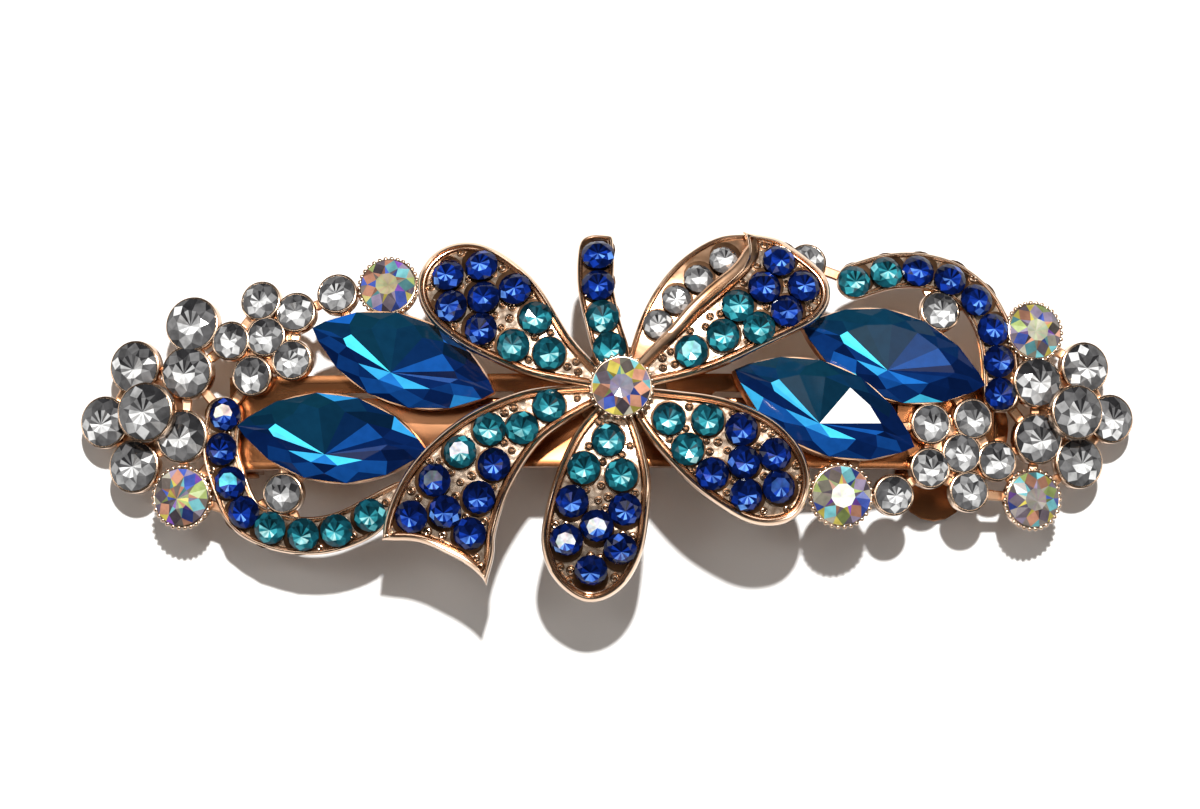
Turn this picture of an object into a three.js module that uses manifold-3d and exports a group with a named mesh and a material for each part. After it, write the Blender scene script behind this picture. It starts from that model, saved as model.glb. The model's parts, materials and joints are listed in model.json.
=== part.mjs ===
// Rhinestone hair clip: a bow and two sprays of set stones, cast in rose gold, on a sprung French barrette.
// Millimetres. +X runs along the clip, +Y across it, +Z up through the bow.
// The layout below is in plan, measured from the middle of the barrette bar, whose top is at height 0 there.
// At the end the whole group is moved so that its origin is the middle of the bottom of its box.
import * as THREE from "three";
import { mergeVertices } from "three/addons/utils/BufferGeometryUtils.js";
import { TessellateModifier } from "three/addons/modifiers/TessellateModifier.js";
import Module from "manifold-3d";

const wasm = await Module();
wasm.setup();

// ---- Overall form ----
const ARCH_RADIUS = 130; // the bar and the ornament follow a head along X
const DROOP_START = 5; // across the clip the ornament is level this far out, then droops
const DROOP_RADIUS = 30;
const STAND_DEPTH = 10.3; // from the bar's top to the surface that the clip stands on

// ---- Clearances ----
const SEAT_GAP = 0.1; // solder line between the bar and what is fixed on it
const STONE_GAP = 0.06; // glue line round a stone
const RUNNING_GAP = 0.4; // between pieces that move past each other
const POCKET_GAP = 3 * STONE_GAP; // between a round stone and the wall of its pocket
const POCKET_RISE = 2 * STONE_GAP; // a pocket is cut this far past the stone's top

// ---- Meshing ----
const WELD = 1e-4; // vertices nearer than this are one
const SPLIT_PASSES = 6; // most times that a long edge is halved
const PIN_SIDES = 12; // pins, the rivet and their holes

// ---- Barrette bar ----
const BAR_LEFT = -32.6;
const BAR_RIGHT = 33.4;
const BAR_WIDTH = 8;
const BAR_THICKNESS = 0.7;
const FLANGE_DEPTH = 1.6; // the bar's long edges are turned down by this much
const FLANGE_WALL = 0.65;
const SHEET_RECESS = 0.12; // the sheet between the rolled edges lies this far below their tops
const WINDOW_WIDTH = 5;
const WINDOW_CORNER = WINDOW_WIDTH / 4; // each window's left corners are cut off by this much
const LEFT_WINDOW = [-26.5, -8];
const RIGHT_WINDOW = [8, 25];

// ---- Hinge ----
const HINGE_INSET = 1.4; // from the bar's left end
const HINGE_X = BAR_LEFT + HINGE_INSET;
const HINGE_DROP = 4.6; // from the bar's top down to the pin
const PIN_RADIUS = 0.5;
const PIN_CLEARANCE = 0.08;
const PIN_HEAD_RADIUS = 0.85;
const PIN_HEAD_LENGTH = 0.35;
const EAR_LENGTH = 2.9;
const EAR_TAPER = 0.35;
const KNUCKLE_WALL = 0.55;

// ---- Catch ----
const CATCH_LENGTH = 7;
const CATCH_INSET = 0.2; // from the bar's right end
const CATCH_RIGHT = BAR_RIGHT - CATCH_INSET;
const CATCH_LEFT = CATCH_RIGHT - CATCH_LENGTH;
const CATCH_THICKNESS = 0.6;
const JAW_WALL = 0.6;
const PRONG_LENGTH = 1; // along the clip
const PRONG_PAST = 0.1; // past the catch's right end
const PRONG_RIGHT = CATCH_RIGHT + PRONG_PAST;
const PRONG_LEFT = PRONG_RIGHT - PRONG_LENGTH;
const PRONG_WALL = 0.6;
const JAW_RIGHT = PRONG_LEFT - PRONG_LENGTH;
const WING_RADIUS = 3.4;
const WING_SHIFT = 0.15; // from the middle of its jaw towards the hinge
const WING_CENTRE_X = (CATCH_LEFT + JAW_RIGHT) / 2 - WING_SHIFT;
const WING_SIDES = 20;
const WING_WIDTH = 4.1; // from the bar's edge to a wing's tip
const WING_THICKNESS = 0.7;
const RIVET_X = (CATCH_LEFT + CATCH_RIGHT) / 2;
const RIVET_RADIUS = 0.8;
const RIVET_HEAD_RADIUS = 1.4;
const RIVET_HEAD = 0.45;

// ---- Tongue arm ----
const TONGUE_SIDE_GAP = 0.9; // from the tongue's edge to a jaw
const TONGUE_WIDTH = BAR_WIDTH - 2 * (JAW_WALL + TONGUE_SIDE_GAP);
const TONGUE_THICKNESS = 0.9;
const TONGUE_RISE = 0.8; // it bows up by this much at its middle
const TONGUE_TIP_FLATNESS = 0.5; // its end is half an ellipse, this long over its width
const TONGUE_TIP_SIDES = 16;
const LATCH_RAIL = 0.4; // metal beside the latch window
const LATCH_TAB = 1.2; // and past its end
const LATCH_PLAY = 0.2; // from the window's sides to the prongs
const LATCH_LEFT = PRONG_LEFT - RUNNING_GAP;
const LATCH_RIGHT = PRONG_RIGHT + RUNNING_GAP + LATCH_PLAY;
const TONGUE_RIGHT = LATCH_RIGHT + LATCH_TAB;
const LATCH_HALF_WIDTH = TONGUE_WIDTH / 2 - LATCH_RAIL;
const PRONG_REACH = LATCH_HALF_WIDTH - LATCH_PLAY;

// ---- Tension spring ----
const SPRING_INSET = 3.6; // from the hinge pin
const SPRING_LEFT = HINGE_X + SPRING_INSET;
const SPRING_RIGHT = CATCH_LEFT - RUNNING_GAP;
const SPRING_WIDTH = 4.2;
const SPRING_THICKNESS = 0.3;
const SPRING_BOW = 1.1;

// ---- Stones and settings ----
const ROUND_SIDES = 8;
const PAVE_SIDES = 6;
const CUP_SIDES = 8;
const CUP_WALL = 0.38;
const CUP_FLOOR = 0.5;
const GIRDLE = 0.7; // from a single stone's flat back to its widest line
const CROWN_SHARE = 0.26; // crown height over radius
const STONE_FOOT = 0.8; // radius of a stone's flat back over its widest radius
const STONE_TABLE = 0.58; // and of its table
const RAISED = 2.15; // a raised cup stands this far above the others
const PEDESTAL_RADIUS = 1.15;
const WEB_THICKNESS = 0.45;
const STRUT_WIDTH = 1.2;
const PAVE_RADIUS = 1.35;
const PAVE_GIRDLE = 0.5;
const PAVE_CROWN = 0.5;
const BED_THICKNESS = 0.2; // film of adhesive under a field of small stones
const BED_GAP = 0.14;
const BED_EDGE = 0.12;
const BED_SINK = BED_THICKNESS / 3; // height of the stones' feet in the film
const NAVETTE_LENGTH = 16;
const NAVETTE_WIDTH = 7.3;
const NAVETTE_GIRDLE = 0.9;
const NAVETTE_CROWN = 1.1;
const NAVETTE_SIDES = 12;
const NAVETTE_FOOT = 0.82;
const NAVETTE_TABLE = 0.5;
const TIP_WALLS = 3; // an oval setting grows by this many walls in length
const SIDE_WALLS = 2; // and by this many in width

// ---- Bands and petals ----
const BAND_THICKNESS = 0.9;
const BAND_HALF_WIDTH = 1.5;
const NAVETTE_STEP = 0.9; // where two oval settings cross, the upper one is raised by this much
const BOW_CLEARANCE = 0.05;
const BOW_LIFT = NAVETTE_STEP + CUP_FLOOR + NAVETTE_GIRDLE + BOW_CLEARANCE; // petals pass over the settings
const PETAL_FLOOR = 0.6;
const PETAL_RIM = 1.35;
const RIM_WIDTH = 0.42;
const FOLD_STEP = 1.15; // the folded petal lies this far above the strip that it covers
const HUB = [1.2, 2.4];
const HUB_BASE_RADIUS = 3.9;
const HUB_BASE_SIDES = 16;
const HUB_KEEP_OFF_SIDES = 12;
const HUB_CUP_LIFT = 1.55; // above the petals' underside
const GRAIN = 3.4; // longest edge of a bent sheet's triangles
const BED_GRAIN = 5;
const BEND_STEP = 3; // spacing of the cross-cuts in a long bent strip
const OUTLINE_STEP = 2; // spacing of the points on a petal's outline
const RIBBON_STEP = 2.6; // and on a band's edges
const MITRE_LIMIT = 0.35; // a sharp corner moves in by at most the distance over this

// ---- Layout of the single stones: name, x, y, radius ----
const LEFT_ROUND = [
  ["clear_left_1", -36.1, 8.7, 2.15],
  ["clear_left_2", -41.2, 5.0, 2.05],
  ["clear_left_3", -36.5, 4.4, 2.05],
  ["clear_left_4", -43.9, 0.3, 2.0],
  ["clear_left_5", -36.9, -1.1, 2.05],
  ["clear_left_6", -41.2, -3.6, 2.05],
  ["aurora_left_end", -36.9, -6.4, 2.35],
  ["aurora_left_top", -18.9, 11.7, 2.25],
  ["flower_left_centre", -29.5, 7.4, 1.5],
  ["flower_left_1", -30.0, 10.6, 1.5],
  ["flower_left_2", -26.9, 9.5, 1.5],
  ["flower_left_3", -27.2, 5.3, 1.5],
  ["flower_left_4", -30.7, 4.0, 1.5],
  ["flower_left_5", -32.6, 7.1, 1.45],
  ["link_left", -23.3, 11.1, 1.5],
  ["ring_left", -27.9, -6.2, 1.5],
];
const RIGHT_ROUND = [
  ["clear_right_1", 37.4, 3.6, 1.95],
  ["clear_right_2", 41.7, 5.0, 1.95],
  ["clear_right_3", 44.0, 0.6, 1.85],
  ["clear_right_4", 37.4, -1.3, 1.95],
  ["clear_right_5", 41.1, -3.3, 1.95],
  ["aurora_right_top", 37.2, 8.1, 2.25],
  ["aurora_right_bottom", 36.9, -6.6, 2.25],
  ["aurora_right_middle", 20.1, -6.5, 2.4],
  ["flower_right_centre", 30.6, -2.7, 1.5],
  ["flower_right_1", 27.9, -0.2, 1.5],
  ["flower_right_2", 31.6, 0.3, 1.5],
  ["flower_right_3", 33.7, -3.3, 1.5],
  ["flower_right_4", 31.2, -6.0, 1.5],
  ["flower_right_5", 27.8, -4.0, 1.5],
  ["link_right", 24.6, -6.4, 1.5],
  ["ring_right", 28.8, 9.7, 1.5],
  ["behind_petal", 17.3, 13.9, 1.35],
];
const LEFT_RAISED = [["clear_left_centre", -40.0, 0.9, 2.3]];
const RIGHT_RAISED = [["clear_right_centre", 40.7, 0.9, 2.1]];
const HUB_STONE = ["aurora_hub", HUB[0], HUB[1], 2.35];

// Pointed oval stones: name, x, y, turn in degrees, lift of the setting
const LEFT_NAVETTES = [
  ["navette_left_upper", -17.6, 5.1, -20, 0],
  ["navette_left_lower", -23.8, -1.5, -8, 0],
];
const RIGHT_NAVETTES = [
  ["navette_right_lower", 18.7, 0.9, -22.5, NAVETTE_STEP],
  ["navette_right_upper", 24.8, 5.6, -16.5, 0],
];

// Struts and webs behind the settings, which the stones mostly hide
const LEFT_STRUTS = [
  [[-29.5, 7.4], [-17.6, 5.1]],
  [[-30.7, 4.0], [-27.0, -1.0]],
  [[-26.9, 9.5], [-23.3, 11.1]],
  [[-23.3, 11.1], [-18.9, 11.7]],
  [[-27.9, -6.2], [-25.5, -2.0]],
  [[-36.5, 4.4], [-32.6, 7.1]],
  [[-36.9, -1.1], [-36.9, -6.4]],
  [[-20.5, 5.5], [-22.5, -1.5]],
  [[-36.9, -6.4], [-31.9, -6.4]],
];
const RIGHT_STRUTS = [
  [[24.8, 5.6], [21.9, 11.6]],
  [[24.6, -6.4], [27.8, -4.0]],
  [[20.1, -6.5], [18.7, 0.9]],
  [[33.7, -3.3], [37.4, -1.3]],
  [[37.4, -1.3], [36.9, -6.6]],
  [[28.8, 9.7], [31.9, 10.4]],
  [[17.3, 13.9], [21.3, 12.1]],
  [[27.9, -0.2], [24.8, 5.6]],
  [[20.1, -6.5], [24.6, -6.4]],
];
const LEFT_WEBS = [
  [-40.0, 0.9, 3.4],
  [-29.6, 7.2, 2.8],
];
const RIGHT_WEBS = [
  [40.7, 0.9, 3.4],
  [30.6, -2.7, 2.8],
];

// Curved bands that carry a row of small stones, as the line of their stones' centres
const LEFT_BAND = [
  [-33.0, 0.7], [-33.3, -2.3], [-32.5, -5.2], [-31.3, -7.8],
  [-29.0, -9.2], [-26.1, -9.8], [-23.2, -9.5], [-20.3, -8.2],
];
const RIGHT_BAND = [
  [21.3, 12.1], [24.1, 13.0], [26.9, 13.2], [29.7, 12.5],
  [32.0, 10.7], [33.4, 8.1], [33.9, 5.3], [34.0, 2.5],
];

// The petals. Each outline is a smooth closed curve through a few points.
// A petal is a tray with a rim, or a flat strip. Its underside swells by `crest` and its tip falls by `drop`.
const PETALS = [
  {
    name: "petal_upper_left",
    outline: [
      [-1.9, 3.2], [-3.9, 8.2], [-7.2, 12.8], [-11.3, 15.2], [-14.3, 14.7],
      [-16.2, 12.2], [-15.9, 9.6], [-14.2, 7.4], [-9.9, 4.7], [-4.6, 2.9],
    ],
    stones: [
      [-13.7, 12.4], [-10.8, 13.2], [-13.4, 9.6], [-10.6, 10.3], [-7.9, 11.0],
      [-10.8, 7.5], [-6.1, 8.4], [-8.0, 6.0], [-4.9, 5.3],
    ],
    crest: 0.9, drop: 0.3, reach: 18, tray: true,
  },
  {
    name: "petal_stem",
    outline: [
      [-1.3, 4.0], [-2.1, 7.1], [-2.5, 11.0], [-2.3, 14.5], [-0.8, 15.6],
      [0.6, 15.4], [0.7, 11.0], [1.2, 7.5], [1.9, 5.2],
    ],
    stones: [[-0.8, 14.1], [-0.8, 11.3], [-0.4, 8.5], [0.2, 5.7]],
    crest: 0.8, drop: 0.3, reach: 14, tray: false,
  },
  {
    name: "petal_strip",
    outline: [
      [2.2, 4.4], [2.3, 6.6], [3.4, 9.3], [5.2, 12.1], [7.2, 14.0], [9.3, 15.3], [12.9, 16.1],
      [12.8, 13.9], [10.6, 11.5], [8.1, 9.2], [5.6, 7.3], [3.4, 5.3],
    ],
    stones: [[10.0, 13.6], [7.8, 11.9], [5.9, 10.0], [4.3, 7.8]],
    crest: 0.6, drop: 0.2, reach: 18, tray: false, stoneRadius: 1.2, clear: true,
  },
  {
    name: "petal_upper_right",
    outline: [
      [3.3, 3.0], [6.9, 3.2], [10.1, 4.3], [13.2, 5.8], [16.3, 7.3], [18.6, 9.0], [19.0, 11.5],
      [16.0, 14.5], [13.0, 15.9], [12.2, 13.9], [10.5, 11.9], [8.1, 9.8], [5.9, 7.6], [3.5, 5.1],
    ],
    stones: [
      [14.7, 13.5], [13.4, 11.1], [16.8, 11.3], [15.3, 9.0],
      [11.1, 9.4], [12.9, 7.5], [9.8, 6.8], [7.1, 5.4],
    ],
    crest: 0.6, drop: 0.3, reach: 20, tray: true, step: FOLD_STEP,
  },
  {
    name: "petal_lower_right",
    outline: [
      [2.8, 1.9], [6.6, 2.1], [10.9, 1.3], [14.8, -0.7], [16.9, -3.5], [17.2, -6.4], [15.9, -8.6],
      [12.9, -9.2], [8.4, -6.9], [4.9, -3.6], [2.6, -0.3],
    ],
    stones: [
      [5.2, -0.2], [8.5, -0.3], [6.8, -2.8], [11.4, -1.1], [14.3, -3.2],
      [11.6, -3.9], [8.9, -4.9], [14.6, -6.0], [11.8, -6.7],
    ],
    crest: 0.8, drop: 0.1, reach: 18, tray: true,
  },
  {
    name: "petal_lower",
    outline: [
      [-0.6, 0.9], [-2.5, -0.9], [-4.7, -5.8], [-5.6, -10.6], [-4.6, -13.6], [-1.5, -15.7],
      [1.3, -14.4], [2.9, -11.7], [3.7, -5.7], [2.9, -1.8], [1.4, 0.6],
    ],
    stones: [
      [0.1, -2.0], [-2.0, -4.4], [1.2, -5.0], [-3.0, -7.3], [1.5, -8.0],
      [-0.9, -9.4], [-3.5, -10.6], [1.1, -11.4], [-1.4, -13.2],
    ],
    crest: 0.9, drop: 1.5, reach: 18.5, tray: true,
  },
  {
    name: "petal_lower_left",
    corners: [[-19.2, -10.4], [-10.2, -14.3]],
    outline: [
      [-2.0, 2.5], [-4.7, 2.6], [-8.4, 1.8], [-12.7, -0.3], [-16.7, -4.0], [-18.7, -7.8],
      [-19.2, -10.4], [-16.2, -10.5], [-12.9, -11.9], [-10.2, -14.3], [-9.6, -10.6],
      [-8.4, -6.6], [-5.8, -2.4], [-3.9, -0.8], [-2.1, 0.6],
    ],
    stones: [
      [-4.9, 0.9], [-7.2, -1.0], [-10.0, -1.1], [-12.5, -3.0], [-9.6, -4.1],
      [-14.7, -5.4], [-10.9, -6.9], [-13.8, -8.1], [-16.7, -8.5], [-11.7, -10.0],
    ],
    crest: 0.7, drop: 0.5, reach: 24, tray: true,
  },
];

// ---- Finishes ----
function finish(color, roughness, metalness) {
  return new THREE.MeshStandardMaterial({ color, roughness, metalness });
}

const roseGold = () => finish(0xd9a07c, 0.25, 1);
const copperBrown = () => finish(0xa9704c, 0.32, 1);
const springSteel = () => finish(0xb07f5c, 0.3, 1);
const clearGlass = () => finish(0xe6eaee, 0.08, 0.1);
const blueGlass = () => finish(0x0b2a9a, 0.08, 0.1);
const oceanGlass = () => finish(0x0a4f8c, 0.06, 0.1);
const auroraGlass = () => finish(0xb48fc8, 0.1, 0.4);

// ---- The surface that everything sits on ----
const archZ = (x) => Math.sqrt(ARCH_RADIUS ** 2 - x ** 2) - ARCH_RADIUS;

function ornamentZ(x, y) {
  const beyond = Math.max(0, Math.abs(y) - DROOP_START);
  return archZ(x) - beyond ** 2 / (2 * DROOP_RADIUS);
}

// Height of a petal's underside over the plan point
function petalZ(petal, x, y) {
  const t = Math.min(1, Math.hypot(x - HUB[0], y - HUB[1]) / petal.reach);
  const swell = petal.crest * Math.sin(Math.PI * t) - petal.drop * t ** 2;
  return ornamentZ(x, y) + BOW_LIFT + (petal.step ?? 0) + swell;
}

// A frame whose Z axis stands square on a surface, so that a point `top` above it lies over plan point (x, y)
function frameOn(heightAt, x, y, lift, top) {
  const step = 0.01;
  const slopeX = (heightAt(x + step, y) - heightAt(x - step, y)) / (2 * step);
  const slopeY = (heightAt(x, y + step) - heightAt(x, y - step)) / (2 * step);
  const normal = new THREE.Vector3(-slopeX, -slopeY, 1).normalize();
  const footX = x - normal.x * top;
  const footY = y - normal.y * top;
  const turn = new THREE.Quaternion().setFromUnitVectors(new THREE.Vector3(0, 0, 1), normal);
  const foot = new THREE.Vector3(footX, footY, heightAt(footX, footY)).addScaledVector(normal, lift);
  return new THREE.Matrix4().compose(foot, turn, new THREE.Vector3(1, 1, 1));
}

// ---- Solids ----
function toSolid(geometry) {
  const bare = geometry.index ? geometry.toNonIndexed() : geometry.clone();
  bare.deleteAttribute("normal");
  bare.deleteAttribute("uv");
  const merged = mergeVertices(bare, WELD);
  const mesh = new wasm.Mesh({
    numProp: 3,
    vertProperties: merged.attributes.position.array,
    triVerts: new Uint32Array(merged.index.array),
  });
  return new wasm.Manifold(mesh);
}

function toGeometry(solid) {
  const mesh = solid.getMesh();
  const geometry = new THREE.BufferGeometry();
  geometry.setAttribute("position", new THREE.BufferAttribute(Float32Array.from(mesh.vertProperties), 3));
  geometry.setIndex(new THREE.BufferAttribute(Uint32Array.from(mesh.triVerts), 1));
  geometry.computeVertexNormals();
  return geometry;
}

const join = (solids) => solids.reduce((sum, next) => sum.add(next));
const cut = (solid, tools) => tools.reduce((rest, tool) => rest.subtract(tool), solid);

// Cuts long edges short, then moves every vertex to its own height: z becomes z + heightAt(x, y)
function bend(geometry, heightAt, grain = GRAIN) {
  const fine = grain ? new TessellateModifier(grain, SPLIT_PASSES).modify(geometry) : geometry;
  const position = fine.attributes.position;
  for (let i = 0; i < position.count; i++) {
    position.setZ(i, position.getZ(i) + heightAt(position.getX(i), position.getY(i)));
  }
  return fine;
}

// An upright prism over a plan outline
function prism(points, bottom, top) {
  const shape = new THREE.Shape(points.map(([x, y]) => new THREE.Vector2(x, y)));
  const geometry = new THREE.ExtrudeGeometry(shape, { depth: top - bottom, bevelEnabled: false });
  return geometry.translate(0, 0, bottom);
}

const rectangle = (x0, x1, y0, y1) => [[x0, y0], [x1, y0], [x1, y1], [x0, y1]];
const block = (x0, x1, y0, y1, z0, z1) => prism(rectangle(x0, x1, y0, y1), z0, z1);

// A long block with cross-cuts, so that it bends smoothly along X
function strip(x0, x1, width, bottom, top) {
  const steps = Math.ceil((x1 - x0) / BEND_STEP);
  const geometry = new THREE.BoxGeometry(x1 - x0, width, top - bottom, steps, 1, 1);
  return geometry.translate((x0 + x1) / 2, 0, (top + bottom) / 2);
}

// A turned solid standing on Z, from [radius, height] pairs that start and end on the axis
function turned(profile, sides) {
  const points = profile.map(([radius, height]) => new THREE.Vector2(radius, height));
  return new THREE.LatheGeometry(points, sides).rotateX(Math.PI / 2);
}

function plug(radius, bottom, top, sides) {
  return turned([[0, bottom], [radius, bottom], [radius, top], [0, top]], sides);
}

// A cylinder along Y
function crossPin(radius, length, x, z) {
  return new THREE.CylinderGeometry(radius, radius, length, PIN_SIDES).translate(x, 0, z);
}

// A closed smooth outline through the given points, with sharp corners where they are asked for
function smoothOutline(points, corners = [], step = OUTLINE_STEP) {
  const isCorner = (p) => corners.some(([x, y]) => x === p[0] && y === p[1]);
  const first = Math.max(0, points.findIndex(isCorner));
  const turnedRound = [...points.slice(first), ...points.slice(0, first + 1)];
  if (!corners.length) return sampled(points, true, step);
  const outline = [];
  let run = [turnedRound[0]];
  for (const point of turnedRound.slice(1)) {
    run.push(point);
    if (!isCorner(point)) continue;
    outline.push(...sampled(run, false, step).slice(0, -1));
    run = [point];
  }
  return outline;
}

function sampled(points, closed, step) {
  const through = points.map(([x, y]) => new THREE.Vector3(x, y, 0));
  const curve = new THREE.CatmullRomCurve3(through, closed, "centripetal");
  const count = Math.max(2, Math.round(curve.getLength() / step));
  const spaced = curve.getSpacedPoints(count).map((p) => [p.x, p.y]);
  return closed ? spaced.slice(0, -1) : spaced;
}

// Moves an outline inwards by a distance, corner by corner
function inset(outline, distance) {
  const count = outline.length;
  const area = outline.reduce((sum, [x, y], i) => {
    const [u, v] = outline[(i + 1) % count];
    return sum + x * v - u * y;
  }, 0);
  const side = Math.sign(area);
  return outline.map(([x, y], i) => {
    const before = new THREE.Vector2(...outline[(i + count - 1) % count]);
    const after = new THREE.Vector2(...outline[(i + 1) % count]);
    const here = new THREE.Vector2(x, y);
    const into = here.clone().sub(before).normalize();
    const out = after.sub(here).normalize();
    const along = into.clone().add(out).normalize();
    const reach = distance / Math.max(MITRE_LIMIT, along.dot(out));
    return [x - side * along.y * reach, y + side * along.x * reach];
  });
}

// A ribbon of the given half width along a line of points, a little past both ends
function ribbon(points, halfWidth, past) {
  const line = sampled(points, false, RIBBON_STEP);
  const extend = ([x0, y0], [x1, y1]) => {
    const length = Math.hypot(x1 - x0, y1 - y0);
    return [x1 + ((x1 - x0) / length) * past, y1 + ((y1 - y0) / length) * past];
  };
  const whole = [extend(line[1], line[0]), ...line.slice(1, -1), extend(line.at(-2), line.at(-1))];
  const edge = (side) => whole.map(([x, y], i) => {
    const [x0, y0] = whole[Math.max(0, i - 1)];
    const [x1, y1] = whole[Math.min(whole.length - 1, i + 1)];
    const length = Math.hypot(x1 - x0, y1 - y0);
    return [x - (side * halfWidth * (y1 - y0)) / length, y + (side * halfWidth * (x1 - x0)) / length];
  });
  return [...edge(1), ...edge(-1).reverse()];
}

// ---- Stones ----
const roundStone = (radius, girdle, crown, sides) => turned(
  [
    [0, 0], [STONE_FOOT * radius, 0], [radius, girdle],
    [STONE_TABLE * radius, girdle + crown], [0, girdle + crown],
  ],
  sides,
);

// Turns a round solid of radius 1 into a pointed oval one with tips on X
function toNavette(geometry, length, width) {
  const a = length / 2;
  const b = width / 2;
  const arc = (a * a + b * b) / (2 * b);
  const position = geometry.attributes.position;
  for (let i = 0; i < position.count; i++) {
    const radius = Math.hypot(position.getX(i), position.getY(i));
    const angle = Math.atan2(position.getY(i), position.getX(i));
    const x = a * Math.cos(angle);
    const y = Math.sqrt(arc * arc - x * x) - (arc - b);
    const side = Math.abs(Math.sin(angle)) < 1e-6 ? 0 : Math.sign(Math.sin(angle));
    position.setXY(i, radius * x, radius * y * side);
  }
  return geometry;
}

function navetteStone() {
  const table = NAVETTE_GIRDLE + NAVETTE_CROWN;
  const profile = [[0, 0], [NAVETTE_FOOT, 0], [1, NAVETTE_GIRDLE], [NAVETTE_TABLE, table], [0, table]];
  return toNavette(turned(profile, NAVETTE_SIDES), NAVETTE_LENGTH, NAVETTE_WIDTH);
}

const group = new THREE.Group();

function addMesh(name, geometry, material) {
  const mesh = new THREE.Mesh(geometry, material);
  mesh.name = name;
  group.add(mesh);
  return mesh;
}

// ---- Round settings: a cup, the pocket cut for its stone, and the stone ----
function roundSetting(heightAt, [name, x, y, radius], lift, pedestal) {
  const crown = CROWN_SHARE * radius;
  const rim = CUP_FLOOR + GIRDLE;
  const top = CUP_FLOOR + STONE_GAP + GIRDLE + crown;
  const place = frameOn(heightAt, x, y, lift, lift + top);
  const upright = (r, z0, z1) => toSolid(plug(r, z0, z1, CUP_SIDES).applyMatrix4(place));
  const cup = upright(radius + CUP_WALL, 0, rim);
  const pocket = upright(radius + POCKET_GAP, CUP_FLOOR, top + POCKET_RISE);
  const stone = roundStone(radius, GIRDLE, crown, ROUND_SIDES).translate(0, 0, CUP_FLOOR + STONE_GAP);
  addMesh(name, stone.applyMatrix4(place), name.startsWith("aurora") ? auroraGlass() : clearGlass());
  return { body: pedestal ? cup.add(upright(PEDESTAL_RADIUS, SEAT_GAP - lift, CUP_FLOOR)) : cup, pocket };
}

function navetteSetting([name, x, y, turnDegrees, lift]) {
  const rim = CUP_FLOOR + NAVETTE_GIRDLE;
  const top = CUP_FLOOR + STONE_GAP + NAVETTE_GIRDLE + NAVETTE_CROWN;
  const place = frameOn(ornamentZ, x, y, 0, top);
  place.premultiply(new THREE.Matrix4().makeTranslation(0, 0, lift));
  place.multiply(new THREE.Matrix4().makeRotationZ(THREE.MathUtils.degToRad(turnDegrees)));
  const shell = (grow, z0, z1) => {
    const disc = plug(1, z0, z1, NAVETTE_SIDES);
    const oval = toNavette(disc, NAVETTE_LENGTH + TIP_WALLS * grow, NAVETTE_WIDTH + SIDE_WALLS * grow);
    return toSolid(oval.applyMatrix4(place));
  };
  const stone = navetteStone().translate(0, 0, CUP_FLOOR + STONE_GAP);
  addMesh(name, stone.applyMatrix4(place), oceanGlass());
  const pocket = shell(2 * STONE_GAP, CUP_FLOOR, top + POCKET_RISE);
  return { body: shell(CUP_WALL, SEAT_GAP - lift, rim), pocket };
}

// ---- Fields of small stones, each field one piece on its film of adhesive ----
// Returns the seats to cut for the stones, so that a tight rim gives way to them
function stoneField(name, heightAt, floor, bedOutline, stones, radius, keepOff, material) {
  const base = floor + BED_GAP;
  const bed = toSolid(bend(prism(bedOutline, base, base + BED_THICKNESS), heightAt, BED_GRAIN));
  const lift = base + BED_SINK;
  const top = PAVE_GIRDLE + PAVE_CROWN;
  const places = stones.map(([x, y]) => frameOn(heightAt, x, y, lift, lift + top));
  const stone = roundStone(radius, PAVE_GIRDLE, PAVE_CROWN, PAVE_SIDES);
  const setStone = (place) => toSolid(stone.clone().applyMatrix4(place));
  addMesh(name, toGeometry(join([cut(bed, keepOff), ...places.map(setStone)])), material);
  return places.map((place) => toSolid(plug(radius + STONE_GAP, 0, top, PAVE_SIDES).applyMatrix4(place)));
}

// ---- Spray castings: oval settings, cups, a band, webs and struts in one piece ----
function sprayCasting(name, spray) {
  const settings = [
    ...spray.navettes.map(navetteSetting),
    ...spray.round.map((row) => roundSetting(ornamentZ, row, SEAT_GAP, false)),
    ...spray.raised.map((row) => roundSetting(ornamentZ, row, RAISED, true)),
  ];
  const sheet = (outline, top) => toSolid(bend(prism(outline, SEAT_GAP, top), ornamentZ));
  const band = sheet(ribbon(spray.band, BAND_HALF_WIDTH, BAND_HALF_WIDTH), BAND_THICKNESS);
  const struts = spray.struts.map((ends) => sheet(ribbon(ends, STRUT_WIDTH / 2, 0), WEB_THICKNESS));
  const webs = spray.webs.map(([x, y, radius]) => {
    const disc = plug(radius, SEAT_GAP, WEB_THICKNESS, CUP_SIDES).translate(x, y, 0);
    return toSolid(bend(disc, ornamentZ));
  });
  const bed = ribbon(spray.band, PAVE_RADIUS / 2, 0);
  const glass = blueGlass();
  const seats = stoneField(spray.field, ornamentZ, BAND_THICKNESS, bed, spray.band, PAVE_RADIUS, [], glass);
  const body = join([...settings.map((s) => s.body), band, ...webs, ...struts]);
  addMesh(name, toGeometry(cut(body, [...settings.map((s) => s.pocket), ...seats])), roseGold());
}

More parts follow.
